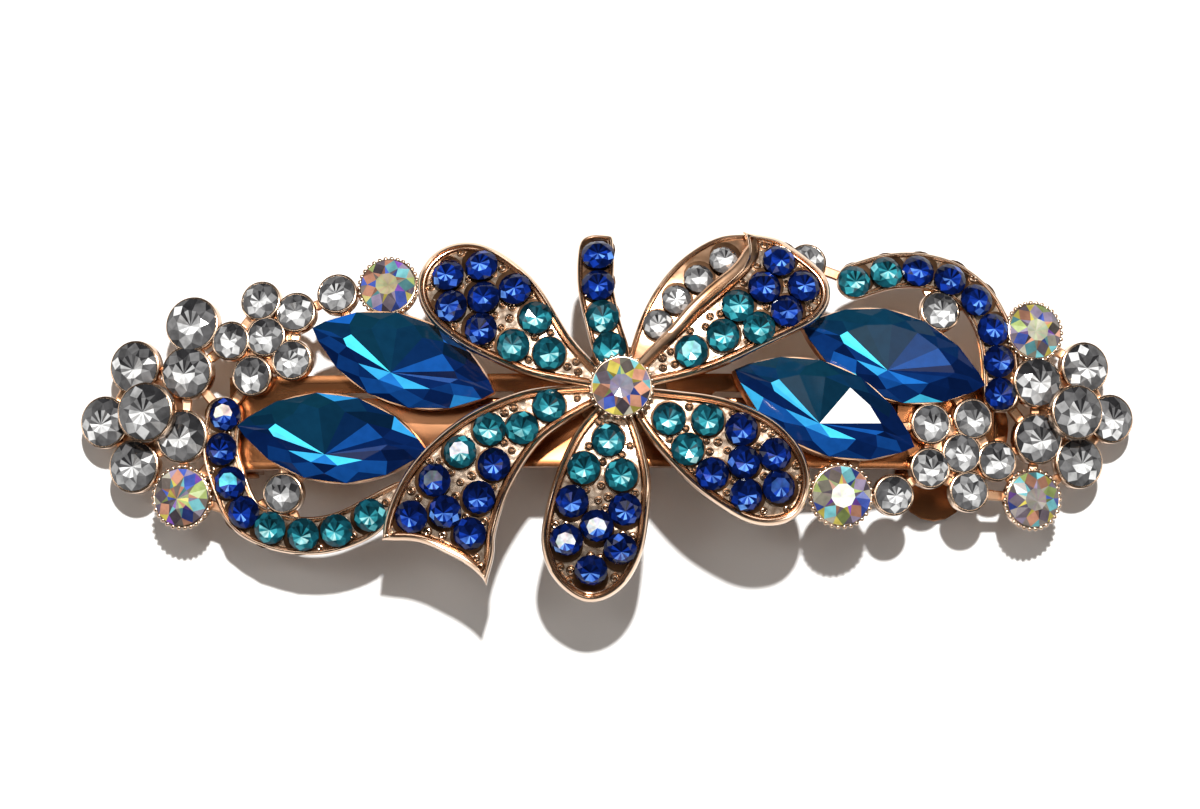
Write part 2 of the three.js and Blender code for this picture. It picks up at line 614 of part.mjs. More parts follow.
// ---- Bow casting: petals round a hub cup, on a base that stands on the bar ----
function bowCasting() {
  const hubTop = BOW_LIFT + HUB_CUP_LIFT;
  const hubRadius = HUB_STONE[3] + CUP_WALL;
  const atHub = (radius, z0, z1, sides) => toSolid(plug(radius, z0, z1, sides).translate(HUB[0], HUB[1], 0));
  const base = atHub(HUB_BASE_RADIUS, SEAT_GAP, BOW_LIFT + PETAL_FLOOR - BED_GAP, HUB_BASE_SIDES);
  const hub = roundSetting(archZ, HUB_STONE, hubTop, false);
  const stem = atHub(hubRadius, BOW_LIFT, hubTop + CUP_FLOOR, CUP_SIDES);
  const keepOff = atHub(hubRadius + BED_EDGE, 0, hubTop + GIRDLE, HUB_KEEP_OFF_SIDES);
  const trays = [];
  const seats = [];
  for (const petal of PETALS) {
    const heightAt = (x, y) => petalZ(petal, x, y);
    const outline = smoothOutline(petal.outline, petal.corners);
    const inner = inset(outline, RIM_WIDTH);
    const plate = toSolid(prism(outline, 0, petal.tray ? PETAL_RIM : PETAL_FLOOR));
    const flat = petal.tray ? plate.subtract(toSolid(prism(inner, PETAL_FLOOR, 2 * PETAL_RIM))) : plate;
    trays.push(toSolid(bend(toGeometry(flat).toNonIndexed(), heightAt)));
    const radius = petal.stoneRadius ?? PAVE_RADIUS;
    const bed = petal.tray ? inset(inner, BED_EDGE) : ribbon(petal.stones, radius / 2, 0);
    const glass = petal.clear ? clearGlass() : blueGlass();
    const field = `pave_${petal.name}`;
    seats.push(...stoneField(field, heightAt, PETAL_FLOOR, bed, petal.stones, radius, [keepOff], glass));
  }
  const body = join([base, hub.body, stem, ...trays]);
  addMesh("bow_casting", toGeometry(cut(body, [hub.pocket, ...seats])), roseGold());
}

// ---- Barrette: every piece is drawn straight and bent to the arch ----
const standZ = -STAND_DEPTH;
const hingeZ = archZ(HINGE_X) - HINGE_DROP;
const halfBar = BAR_WIDTH / 2;

// One rolled edge of the bar, which runs down into the hinge's ear
function barEdge(side) {
  const steps = Math.ceil((BAR_RIGHT - BAR_LEFT) / BEND_STEP);
  const step = (BAR_RIGHT - BAR_LEFT) / steps;
  const stations = Array.from({ length: steps + 1 }, (_, i) => BAR_LEFT + step * i);
  const top = stations.map((x) => [x, archZ(x)]);
  const earLeft = HINGE_X - EAR_LENGTH / 2;
  const earRight = HINGE_X + EAR_LENGTH / 2;
  const under = stations.filter((x) => x > earRight).reverse().map((x) => [x, archZ(x) - FLANGE_DEPTH]);
  const ear = [
    [earRight, archZ(earRight) - FLANGE_DEPTH], [earRight - EAR_TAPER, standZ], [earLeft + EAR_TAPER, standZ],
    [earLeft, archZ(earLeft) - FLANGE_DEPTH],
  ];
  const wall = prism([...top, ...under, ...ear], -FLANGE_WALL / 2, FLANGE_WALL / 2);
  return toSolid(wall.rotateX(Math.PI / 2).translate(0, side * (halfBar - FLANGE_WALL / 2), 0));
}

function rivetHole() {
  const hole = plug(RIVET_RADIUS + STONE_GAP, -STAND_DEPTH, 0, PIN_SIDES);
  return toSolid(hole.translate(RIVET_X, 0, 0));
}

function baseBar() {
  const sheetWidth = BAR_WIDTH - FLANGE_WALL;
  const flat = strip(BAR_LEFT, BAR_RIGHT, sheetWidth, -BAR_THICKNESS, -SHEET_RECESS);
  const windows = [LEFT_WINDOW, RIGHT_WINDOW].map(([x0, x1]) => {
    const half = WINDOW_WIDTH / 2;
    const lower = [[x0, WINDOW_CORNER - half], [x0 + WINDOW_CORNER, -half], [x1, -half]];
    const upper = lower.map(([x, y]) => [x, -y]).reverse();
    return toSolid(prism([...lower, ...upper], -STAND_DEPTH, STAND_DEPTH));
  });
  const hole = toSolid(crossPin(PIN_RADIUS + PIN_CLEARANCE, 2 * BAR_WIDTH, HINGE_X, hingeZ));
  const body = join([toSolid(bend(flat, archZ, 0)), barEdge(-1), barEdge(1)]);
  addMesh("base_bar", toGeometry(cut(body, [...windows, hole, rivetHole()])), copperBrown());
}

function hingePin() {
  const length = BAR_WIDTH + 2 * PIN_CLEARANCE + PIN_HEAD_LENGTH;
  const shaft = toSolid(crossPin(PIN_RADIUS, length, HINGE_X, hingeZ));
  const headY = halfBar + PIN_CLEARANCE + PIN_HEAD_LENGTH / 2;
  const head = crossPin(PIN_HEAD_RADIUS, PIN_HEAD_LENGTH, HINGE_X, hingeZ);
  const heads = [-headY, headY].map((y) => toSolid(head.clone().translate(0, y, 0)));
  addMesh("hinge_pin", toGeometry(join([shaft, ...heads])), springSteel());
}

// Middle height of the tongue: a straight line from the pin to the latch, bowed up a little
function tongueZ(x) {
  const latchX = LATCH_RIGHT;
  const t = (x - HINGE_X) / (latchX - HINGE_X);
  const latchZ = archZ(latchX) - HINGE_DROP;
  return hingeZ + (latchZ - hingeZ) * t + 4 * TONGUE_RISE * t * (1 - t);
}

function tongueArm() {
  const half = TONGUE_THICKNESS / 2;
  const tipRadius = TONGUE_WIDTH / 2;
  const tipX = TONGUE_RIGHT - TONGUE_TIP_FLATNESS * tipRadius;
  const sheet = toSolid(bend(strip(HINGE_X, tipX, TONGUE_WIDTH, -half, half), tongueZ, 0));
  const disc = plug(tipRadius, -half, half, TONGUE_TIP_SIDES);
  const round = disc.scale(TONGUE_TIP_FLATNESS, 1, 1).translate(tipX, 0, 0);
  const tip = toSolid(bend(round, tongueZ, 0));
  const barrelRadius = PIN_RADIUS + PIN_CLEARANCE + KNUCKLE_WALL;
  const barrelLength = BAR_WIDTH - 2 * FLANGE_WALL - 2 * RUNNING_GAP;
  const barrel = toSolid(crossPin(barrelRadius, barrelLength, HINGE_X, hingeZ));
  const bore = toSolid(crossPin(PIN_RADIUS + PIN_CLEARANCE, BAR_WIDTH, HINGE_X, hingeZ));
  const window = block(LATCH_LEFT, LATCH_RIGHT, -LATCH_HALF_WIDTH, LATCH_HALF_WIDTH, -STAND_DEPTH, 0);
  const body = join([sheet, tip, barrel]);
  addMesh("tongue_arm", toGeometry(cut(body, [bore, toSolid(window)])), copperBrown());
}

function tensionSpring() {
  const middle = (SPRING_LEFT + SPRING_RIGHT) / 2;
  const halfSpan = (SPRING_RIGHT - SPRING_LEFT) / 2;
  const springZ = (x) => {
    const t = (x - middle) / halfSpan;
    return archZ(x) - BAR_THICKNESS - SEAT_GAP - SPRING_BOW * (1 - t * t);
  };
  const leaf = bend(strip(SPRING_LEFT, SPRING_RIGHT, SPRING_WIDTH, -SPRING_THICKNESS, 0), springZ, 0);
  addMesh("tension_spring", toGeometry(toSolid(leaf)), springSteel());
}

// The catch's top plate is riveted under the bar, between its edges; its two sprung jaws hang below
const plateTop = -BAR_THICKNESS - SEAT_GAP;
const jawTop = archZ(CATCH_RIGHT) - FLANGE_DEPTH - RUNNING_GAP / 2;

function catchBase() {
  const width = BAR_WIDTH - 2 * FLANGE_WALL - 2 * SEAT_GAP;
  const flat = strip(CATCH_LEFT, CATCH_RIGHT, width, plateTop - CATCH_THICKNESS, plateTop);
  addMesh("catch_base", toGeometry(toSolid(bend(flat, archZ, 0)).subtract(rivetHole())), copperBrown());
}

function catchRivet() {
  const top = archZ(RIVET_X + RIVET_RADIUS);
  const bottom = archZ(RIVET_X + RIVET_HEAD_RADIUS) - BAR_THICKNESS - CATCH_THICKNESS - 2 * SEAT_GAP;
  const rivet = turned([
    [0, bottom - RIVET_HEAD], [RIVET_HEAD_RADIUS, bottom - RIVET_HEAD], [RIVET_HEAD_RADIUS, bottom],
    [RIVET_RADIUS, bottom], [RIVET_RADIUS, top], [0, top],
  ], PIN_SIDES);
  addMesh("catch_rivet", rivet.translate(RIVET_X, 0, 0), springSteel());
}

// One jaw: a side wall, a rounded finger wing at its foot, and a prong that stands in the latch window
function catchJaw(name, side) {
  const top = jawTop;
  const outer = halfBar;
  const inner = outer - JAW_WALL;
  const span = (a, b) => (side > 0 ? [a, b] : [-b, -a]);
  const slab = (x0, x1, a, b, z0, z1) => toSolid(block(x0, x1, ...span(a, b), z0, z1));
  const wall = slab(CATCH_LEFT, JAW_RIGHT, inner, outer, standZ, top);
  const inside = PRONG_REACH - PRONG_WALL;
  const arm = slab(JAW_RIGHT - JAW_WALL, PRONG_RIGHT, inside, outer, top - 2 * JAW_WALL, top);
  const prong = slab(PRONG_LEFT, PRONG_RIGHT, inside, PRONG_REACH, standZ + WING_THICKNESS / 2, top);
  const disc = toSolid(plug(WING_RADIUS, standZ, standZ + WING_THICKNESS, WING_SIDES)
    .scale(1, WING_WIDTH / WING_RADIUS, 1).translate(WING_CENTRE_X, side * outer, 0));
  const beyond = outer + 2 * WING_WIDTH;
  const outside = slab(CATCH_LEFT - WING_RADIUS, CATCH_RIGHT + WING_RADIUS, inner, beyond, 2 * standZ, 0);
  addMesh(name, toGeometry(join([wall, arm, prong, disc.intersect(outside)])), copperBrown());
}

baseBar();
hingePin();
tongueArm();
tensionSpring();
catchBase();
catchRivet();
catchJaw("catch_jaw_front", -1);
catchJaw("catch_jaw_rear", 1);
sprayCasting("left_spray_casting", {
  navettes: LEFT_NAVETTES, round: LEFT_ROUND, raised: LEFT_RAISED, band: LEFT_BAND,
  webs: LEFT_WEBS, struts: LEFT_STRUTS, field: "pave_left_band",
});
sprayCasting("right_spray_casting", {
  navettes: RIGHT_NAVETTES, round: RIGHT_ROUND, raised: RIGHT_RAISED, band: RIGHT_BAND,
  webs: RIGHT_WEBS, struts: RIGHT_STRUTS, field: "pave_right_band",
});
bowCasting();

// The origin is the middle of the bottom of the object's box
const box = new THREE.Box3().setFromObject(group);
const middle = box.getCenter(new THREE.Vector3());
for (const mesh of group.children) {
  mesh.geometry.translate(-middle.x, -middle.y, -box.min.z);
}

export default group;
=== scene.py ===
import json
import math
import random

import bmesh
import bpy
import numpy as np
from mathutils import Matrix, Vector
from mathutils.geometry import delaunay_2d_cdt, intersect_line_line_2d


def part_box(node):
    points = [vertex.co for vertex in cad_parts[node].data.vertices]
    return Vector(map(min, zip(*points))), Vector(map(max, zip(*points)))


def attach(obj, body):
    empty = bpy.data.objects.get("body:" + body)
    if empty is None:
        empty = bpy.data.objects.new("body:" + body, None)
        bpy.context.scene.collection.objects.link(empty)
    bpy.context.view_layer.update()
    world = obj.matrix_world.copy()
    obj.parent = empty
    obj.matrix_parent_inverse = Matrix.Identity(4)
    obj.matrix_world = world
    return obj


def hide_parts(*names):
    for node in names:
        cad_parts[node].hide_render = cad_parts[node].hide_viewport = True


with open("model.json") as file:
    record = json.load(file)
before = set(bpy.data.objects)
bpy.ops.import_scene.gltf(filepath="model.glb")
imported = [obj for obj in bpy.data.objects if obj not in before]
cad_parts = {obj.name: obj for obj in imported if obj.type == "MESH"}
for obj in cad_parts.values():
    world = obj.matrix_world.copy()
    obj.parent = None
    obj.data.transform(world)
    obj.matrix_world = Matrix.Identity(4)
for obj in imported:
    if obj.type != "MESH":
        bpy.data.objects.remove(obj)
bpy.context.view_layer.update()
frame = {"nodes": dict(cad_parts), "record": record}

# Shapes are worked out in millimetres in the frame's own axes, and become metres in make_piece().
MM = 0.001
rng = random.Random(7)

# ---- The surface that the ornament follows, as the frame has it ----
ARCH_RADIUS = 130.0
DROOP_START = 5.0
DROOP_RADIUS = 30.0
BAR = [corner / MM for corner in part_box("base_bar")]
BAR_MIDDLE_Y = (BAR[0].y + BAR[1].y) / 2
BAR_TOP = BAR[1].z
SEAT_GAP = 0.1

# ---- Settings ----
CUP_WALL = 0.30
CUP_FLOOR = 0.5
STONE_GAP = 0.06
GIRDLE = 0.7
CUP_SEGMENTS = 40
TABLE_SHARE = 0.58  # a stone's table radius over its radius in the frame
PAVE_HEIGHT = 1.0  # from a small stone's foot to its table
PAVE_GIRDLE = 0.5
LARGE_STONE = 1.7  # stones with a larger radius than this count as large
SAME_POINT = 0.002  # points of the frame that are this near are one point
SHARP_EDGE = 30  # a bevel rounds edges that turn by more degrees than this
PLAIN = (1.0, 1.0, 1.0)  # the tint of a face that its material colours by itself

# ---- Petals and bands ----
PETAL_FLOOR = 0.6
BED_GAP = 0.14
BED_INSET = 0.54  # from a petal's edge to the adhesive film that lies in it
RIM_HEIGHT = 1.35
OUTLINE_STEP = 0.28


def arch_z(x):
    return BAR_TOP + math.sqrt(ARCH_RADIUS**2 - x * x) - ARCH_RADIUS


def ornament_z(x, y):
    beyond = max(0.0, abs(y - BAR_MIDDLE_Y) - DROOP_START)
    return arch_z(x) - beyond**2 / (2 * DROOP_RADIUS)


# ---- shapes
class Shape:
    """Points, faces and one colour for each face."""

    def __init__(self):
        self.points = []
        self.faces = []
        self.tints = []

    def add(self, points, faces, tints=None, place=None):
        start = len(self.points)
        self.points += [place @ Vector(p) if place else Vector(p) for p in points]
        self.faces += [tuple(start + i for i in face) for face in faces]
        self.tints += tints or [PLAIN] * len(faces)
        return start


def make_piece(name, shape, material, slot, body="root", smooth=None, bevel=0.0):
    mesh = bpy.data.meshes.new(name)
    mesh.from_pydata([p * MM for p in shape.points], [], shape.faces)
    if any(t != PLAIN for t in shape.tints):
        layer = mesh.color_attributes.new("facet", "FLOAT_COLOR", "CORNER")
        for polygon, tint in zip(mesh.polygons, shape.tints):
            for corner in polygon.loop_indices:
                layer.data[corner].color = (*tint, 1.0)
    piece = bpy.data.objects.new(name, mesh)
    bpy.context.scene.collection.objects.link(piece)
    mesh.materials.append(material)
    tidy_mesh(mesh, bevel)
    if smooth is not None:
        shade(mesh, smooth)
    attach(piece, body)
    return piece


def tidy_mesh(mesh, bevel):
    work = bmesh.new()
    work.from_mesh(mesh)
    bmesh.ops.recalc_face_normals(work, faces=work.faces)
    if bevel:
        limit = math.radians(SHARP_EDGE)
        edges = [e for e in work.edges if len(e.link_faces) == 2 and e.calc_face_angle() > limit]
        bmesh.ops.bevel(
            work, geom=edges, offset=bevel * MM, segments=2, profile=0.6, affect="EDGES", clamp_overlap=True
        )
    work.to_mesh(mesh)
    work.free()


def shade(mesh, degrees):
    """Smooth shading, with edges sharper than this left sharp."""
    mesh.polygons.foreach_set("use_smooth", [True] * len(mesh.polygons))
    work = bmesh.new()
    work.from_mesh(mesh)
    limit = math.radians(degrees)
    for edge in work.edges:
        edge.smooth = len(edge.link_faces) == 2 and edge.calc_face_angle() < limit
    work.to_mesh(mesh)
    work.free()


def turned(profile, segments):
    """A closed turned shape from [radius, height] pairs that start and end on the axis."""
    points = [(0.0, 0.0, profile[0][1])]
    rings = []
    for radius, height in profile[1:-1]:
        rings.append(len(points))
        for k in range(segments):
            angle = 2 * math.pi * k / segments
            points.append((radius * math.cos(angle), radius * math.sin(angle), height))
    points.append((0.0, 0.0, profile[-1][1]))
    faces = []
    for k in range(segments):
        after = (k + 1) % segments
        faces.append((0, rings[0] + after, rings[0] + k))
        for low, high in zip(rings, rings[1:]):
            faces.append((low + k, low + after, high + after, high + k))
        faces.append((rings[-1] + k, rings[-1] + after, len(points) - 1))
    return points, faces


def frame_at(foot, axis, along=Vector((1, 0, 0))):
    """The matrix that stands a local shape on foot, with its Z on axis and its X near along."""
    x_axis = (along - axis * along.dot(axis)).normalized()
    y_axis = axis.cross(x_axis)
    place = Matrix((x_axis, y_axis, axis)).transposed().to_4x4()
    place.translation = foot
    return place


def joined(rings):
    """The points and faces of an open skin through rings of equal count."""
    count = len(rings[0])
    points = [p for ring in rings for p in ring]
    faces = []
    for low in range(0, len(points) - count, count):
        for k in range(count):
            after = (k + 1) % count
            faces.append((low + k, low + after, low + count + after, low + count + k))
    return points, faces


def stacked(rings):
    """A closed shape through rings of equal count, with a fan at each end."""
    count = len(rings[0])
    points, faces = joined(rings)
    for ring, first in ((rings[0], 0), (rings[-1], (len(rings) - 1) * count)):
        points.append(sum(ring, Vector()) / count)
        faces += [(first + k, first + (k + 1) % count, len(points) - 1) for k in range(count)]
    return points, faces


# ---- reading the frame
def node_mesh(node, merge=None):
    """A node's mesh in millimetres. Faces that turn by less than merge degrees become one."""
    work = bmesh.new()
    work.from_mesh(frame["nodes"][node].data)
    bmesh.ops.scale(work, vec=(1 / MM,) * 3, verts=work.verts)
    bmesh.ops.remove_doubles(work, verts=work.verts, dist=SAME_POINT)
    if merge:
        bmesh.ops.dissolve_limit(work, angle_limit=math.radians(merge), verts=work.verts, edges=work.edges)
    return work


def flat_faces(node):
    """The node's flat faces in millimetres, each as (centre, normal, corners, area)."""
    work = node_mesh(node, 1)
    faces = [
        (f.calc_center_median(), f.normal.copy(), [v.co.copy() for v in f.verts], f.calc_area())
        for f in work.faces
    ]
    work.free()
    return faces


def single_stone(node):
    """A single stone's foot, axis, long direction, half length, half width and height."""
    faces = flat_faces(node)
    foot, down, corners, _ = max(faces, key=lambda face: face[3])
    axis = -down
    reach = max(corners, key=lambda c: (c - foot).length) - foot
    along = (reach - axis * reach.dot(axis)).normalized()
    across = axis.cross(along)
    points = [c - foot for face in faces for c in face[2]]
    length = max(abs(p.dot(along)) for p in points)
    width = max(abs(p.dot(across)) for p in points)
    height = max(p.dot(axis) for p in points)
    return {"name": node, "foot": foot, "axis": axis, "along": along, "length": length, "width": width,
            "radius": max(length, width), "height": height}


TABLE_SIDES = 6
TABLE_UP = 0.5  # the least Z of a small stone's table normal
UNEVEN = 0.04  # how much the table's sides may differ


def field_stones(node):
    """The stones of a field, found by their hexagonal tables."""
    found = []
    for centre, normal, corners, _ in flat_faces(node):
        if len(corners) != TABLE_SIDES or normal.z < TABLE_UP:
            continue
        sides = [(a - b).length for a, b in zip(corners, corners[1:] + corners[:1])]
        mean = sum(sides) / TABLE_SIDES
        if max(abs(s - mean) for s in sides) > UNEVEN * mean:
            continue
        found.append({"foot": centre - normal * PAVE_HEIGHT, "axis": normal, "radius": mean / TABLE_SHARE,
                      "height": PAVE_HEIGHT, "table": centre})
    return found


NODE_NAMES = sorted(frame["nodes"])
FIELDS = [n for n in NODE_NAMES if n.startswith("pave_")]
CASTINGS = ["left_spray_casting", "right_spray_casting", "bow_casting"]
BARRETTE = ["base_bar", "hinge_pin", "tongue_arm", "tension_spring", "catch_base", "catch_rivet",
            "catch_jaw_front", "catch_jaw_rear"]
SINGLES = [n for n in NODE_NAMES if n not in FIELDS + CASTINGS + BARRETTE]
stones = {n: single_stone(n) for n in SINGLES}
navettes = {n: stone for n, stone in stones.items() if n.startswith("navette")}
rounds = {n: stone for n, stone in stones.items() if n not in navettes}
fields = {n: field_stones(n) for n in FIELDS}
HUB = stones["aurora_hub"]

# ---- materials
def new_material(name):
    material = bpy.data.materials.new(name)
    material.use_nodes = True
    nodes = material.node_tree.nodes
    return material, nodes, material.node_tree.links, nodes["Principled BSDF"]


def object_noise(nodes, links, scale, detail=3.0, stretch=(1, 1, 1)):
    place = nodes.new("ShaderNodeTexCoord")
    mapping = nodes.new("ShaderNodeMapping")
    mapping.inputs["Scale"].default_value = stretch
    links.new(place.outputs["Object"], mapping.inputs["Vector"])
    noise = nodes.new("ShaderNodeTexNoise")
    noise.inputs["Scale"].default_value = scale
    noise.inputs["Detail"].default_value = detail
    links.new(mapping.outputs["Vector"], noise.inputs["Vector"])
    return noise


def ramp(nodes, links, source, stops):
    colours = nodes.new("ShaderNodeValToRGB")
    while len(colours.color_ramp.elements) < len(stops):
        colours.color_ramp.elements.new(0.5)
    for element, (position, colour) in zip(colours.color_ramp.elements, stops):
        element.position = position
        element.color = (*colour, 1.0)
    links.new(source, colours.inputs["Fac"])
    return colours


def bump(nodes, links, shader, height, strength, distance):
    node = nodes.new("ShaderNodeBump")
    node.inputs["Strength"].default_value = strength
    node.inputs["Distance"].default_value = distance * MM
    links.new(height, node.inputs["Height"])
    links.new(node.outputs["Normal"], shader.inputs["Normal"])


def metal(name, dark, light, roughness, noise_scale, stretch=(1, 1, 1), relief=0.0, relief_depth=0.05):
    """Plated metal: its colour and gloss vary a little, and cast surfaces have a fine relief."""
    material, nodes, links, shader = new_material(name)
    shader.inputs["Metallic"].default_value = 1.0
    noise = object_noise(nodes, links, noise_scale, 4.0, stretch)
    tone = ramp(nodes, links, noise.outputs["Fac"], [(0.35, dark), (0.65, light)])
    links.new(tone.outputs["Color"], shader.inputs["Base Color"])
    low, high = roughness
    gloss = nodes.new("ShaderNodeMapRange")
    gloss.inputs["To Min"].default_value = low
    gloss.inputs["To Max"].default_value = high
    links.new(noise.outputs["Fac"], gloss.inputs["Value"])
    links.new(gloss.outputs["Result"], shader.inputs["Roughness"])
    if relief:
        bump(nodes, links, shader, noise.outputs["Fac"], relief, relief_depth)
    return material


def granulated(name, dark, light):
    """The floor of a petal: small melted grains in the casting, with painted shade darkening the crevices
    between them.
    """
    material, nodes, links, shader = new_material(name)
    shader.inputs["Metallic"].default_value = 0.85
    place = nodes.new("ShaderNodeTexCoord")
    cells = nodes.new("ShaderNodeTexVoronoi")
    cells.feature = "SMOOTH_F1"
    cells.inputs["Scale"].default_value = 2400.0
    cells.inputs["Smoothness"].default_value = 0.4
    links.new(place.outputs["Object"], cells.inputs["Vector"])
    # Painted shade: each grain is light on its top and darkens towards its edge, in the crevices between
    # grains.
    tone = ramp(nodes, links, cells.outputs["Distance"], [(0.35, light), (0.9, dark)])
    links.new(tone.outputs["Color"], shader.inputs["Base Color"])
    shader.inputs["Roughness"].default_value = 0.22
    bump(nodes, links, shader, cells.outputs["Distance"], 0.16, 0.1)
    return material


def stone_material(name, specular, roughness, coat, cloud):
    """A foiled stone: each facet has a painted tint, the glass's own hue at a brightness that paints the
    foil's reflections and sparkle, clouded a little, under a clear polished surface.
    """
    material, nodes, links, shader = new_material(name)
    facet = nodes.new("ShaderNodeVertexColor")
    facet.layer_name = "facet"
    noise = object_noise(nodes, links, 1300.0, 2.0)
    shift = ramp(nodes, links, noise.outputs["Fac"], [(0.3, (cloud, cloud, cloud)), (0.62, (1.0, 1.0, 1.0))])
    mix = nodes.new("ShaderNodeMix")
    mix.data_type = "RGBA"
    mix.blend_type = "MULTIPLY"
    mix.inputs["Factor"].default_value = 1.0
    links.new(facet.outputs["Color"], mix.inputs["A"])
    links.new(shift.outputs["Color"], mix.inputs["B"])
    links.new(mix.outputs["Result"], shader.inputs["Base Color"])
    shader.inputs["Roughness"].default_value = roughness
    shader.inputs["Specular IOR Level"].default_value = specular
    shader.inputs["Coat Weight"].default_value = coat
    shader.inputs["Coat Roughness"].default_value = 0.03
    return material


GOLD = metal("rose_gold_polished", (0.62, 0.43, 0.30), (0.80, 0.60, 0.45), (0.14, 0.26), 160.0)
GOLD_CAST = metal("rose_gold_cast", (0.48, 0.26, 0.14), (0.72, 0.46, 0.30), (0.2, 0.38), 420.0, relief=0.25)
GOLD_GRAIN = granulated("rose_gold_granulated", (0.36, 0.22, 0.14), (0.86, 0.68, 0.53))
# Near-black rose gold that stands in for shade: painted shade in the gaps round stones and studs, and on the
# hub's post.
GOLD_PAINTED_SHADE = metal("rose_gold_recess", (0.05, 0.025, 0.014), (0.16, 0.085, 0.045), (0.35, 0.5), 500.0)
COPPER = metal(
    "copper_brown", (0.22, 0.08, 0.03), (0.45, 0.19, 0.08), (0.18, 0.34), 260.0, (0.06, 1, 1), 0.12, 0.03
)
SPRING = metal(
    "spring_copper", (0.28, 0.12, 0.055), (0.46, 0.22, 0.11), (0.22, 0.36), 300.0, (0.05, 1, 1), 0.1, 0.02
)
GLASS_BLUE = stone_material("foiled_glass_blue", 0.15, 0.1, 0.1, 0.45)
GLASS_CLEAR = stone_material("foiled_glass_clear", 0.35, 0.1, 0.45, 0.6)
GLASS_OCEAN = stone_material("foiled_glass_ocean", 0.07, 0.06, 0.04, 0.85)
GLASS_AURORA = stone_material("foiled_glass_aurora", 0.35, 0.1, 0.3, 0.7)

# ---- stones
# Tints run from the darkest facets to a spark: the glass's own hue, with its lightness painted light, up to a
# painted highlight.
BLUE = [(0.001, 0.003, 0.02), (0.002, 0.010, 0.085), (0.006, 0.038, 0.36), (0.15, 0.37, 0.96)]
TEAL = [(0.002, 0.018, 0.026), (0.007, 0.085, 0.12), (0.045, 0.40, 0.48), (0.55, 0.92, 0.92)]
OCEAN = [(0.001, 0.004, 0.022), (0.002, 0.014, 0.08), (0.008, 0.10, 0.42), (0.07, 0.66, 0.92)]
OCEAN_GREEN = (0.003, 0.036, 0.062)  # the cast of a navette's upper left facets
CLEAR = [(0.02, 0.02, 0.022), (0.14, 0.14, 0.145), (0.58, 0.59, 0.60), (0.98, 0.99, 1.0)]
AURORA = [(0.80, 0.68, 0.14), (0.74, 0.36, 0.24), (0.25, 0.10, 0.52), (0.08, 0.14, 0.58), (0.22, 0.60, 0.66),
          (0.46, 0.58, 0.20), (0.16, 0.13, 0.16), (0.36, 0.30, 0.44), (0.55, 0.52, 0.42), (0.24, 0.20, 0.18)]
# Each aurora facet takes a colour of the coating at a random strength, which paints its sparkle.
AURORA_SHADES = (0.25, 1.0)
AURORA_DARKER = 0.86
# The whole table of each aurora stone in one colour: the coating's cast with a painted reflection of the
# lights, near white on the right middle stone.
AURORA_TABLES = {
    "aurora_hub": (0.24, 0.22, 0.30),
    "aurora_left_top": (0.36, 0.33, 0.19),
    "aurora_right_top": (0.44, 0.46, 0.33),
    "aurora_right_middle": (0.84, 0.88, 0.76),
    "aurora_right_bottom": (0.26, 0.23, 0.21),
}
WHITE_FLASH = (0.90, 0.92, 0.95)
# Stones whose table mirrors a light or a dark patch: plan point, and the colour there
FLASHES = [
    ((-12.6, -3.2), WHITE_FLASH), ((-14.9, -5.6), (0.13, 0.15, 0.20)), ((-1.0, -9.4), WHITE_FLASH),
    ((-3.6, -10.9), WHITE_FLASH), ((-32.8, 0.4), (0.92, 0.84, 0.72)), ((-32.4, -5.4), (0.15, 0.70, 0.90)),
    ((7.0, 5.2), (0.35, 0.75, 0.80)), ((14.3, -6.2), (0.03, 0.08, 0.30)),
]
FLASH_REACH = 1.2  # how near its plan point a stone's table is
FLASH_EDGE = -0.25  # a flash leaves out the front of a table, below this share of the stone's radius
FLASH_SHADES = (0.8, 1.0)
# How bright the facets of each kind are painted: mean, gain towards the front, and the ends of their spread.
# This is painted light: facets towards the front are lighter, where the light from the back falls through
# onto the foil, and the spread paints the foil's sparkle.
ROUND_FACETS = {
    "table": (0.40, 0.34, -0.16, 0.24), "star": (0.26, 0.16, -0.15, 0.2), "wedge": (0.22, 0.16, -0.15, 0.2),
    "kite": (0.22, 0.2, -0.2, 0.25), "edge": (0.06, 0.1, -0.06, 0.14),
}
OVAL_FACETS = {
    "table": (0.2, 0.10, -0.14, 0.14), "star": (0.2, 0.14, -0.16, 0.22), "kite": (0.18, 0.16, -0.16, 0.26),
    "edge": (0.16, 0.12, -0.08, 0.16),
}
RAYS = (0.16, -0.12)  # the two halves of each of the cone's facets
# The girdle and the underside are painted near the darkest tint, as shade.
GIRDLE_LEVEL = 0.05
UNDER_LEVEL = 0.02
SPARK = 0.5  # how much brighter a kite with a spark is
SPARK_SHARE = 0.10
GLINT = 0.55  # the same for the edge facets of an oval stone
GLINT_SHARE = 0.16
CLEAR_GAIN = 1.12
SMALL_LIGHTER = 0.06  # small clear stones are a little lighter than large ones


def tint(palette, level):
    level = min(max(level, 0.0), 0.999) * (len(palette) - 1)
    low = int(level)
    share = level - low
    return tuple(a + (b - a) * share for a, b in zip(palette[low], palette[low + 1]))


def facet_level(kind, facing):
    mean, gain, low, high = kind
    return mean + gain * facing + rng.uniform(low, high)


def facet_tint(palette, level, lighter):
    if palette is AURORA:
        strength = AURORA_DARKER * rng.uniform(*AURORA_SHADES)
        return tuple(c * strength for c in rng.choice(AURORA))
    if palette is CLEAR:
        level = CLEAR_GAIN * level + lighter
    return tint(palette, level)


STONE_FULLNESS = 1.05  # a finished stone's edge over the frame's few-sided one
BASE_SHARE = 0.8  # a round stone's foot over its edge
EDGE_BAND = 0.14  # the height of its upright edge
MIDDLE_OUT = 0.02  # how far the ring of points on its crown is out from halfway
MIDDLE_UP = 0.52  # the height of that ring in the crown
CULET_ASIDE = 0.08  # how far the cone's point may be aside, over the radius
CULET_DROP = (0.02, 0.14)  # how far it is seen below its middle
CULET_DEPTH = 0.05


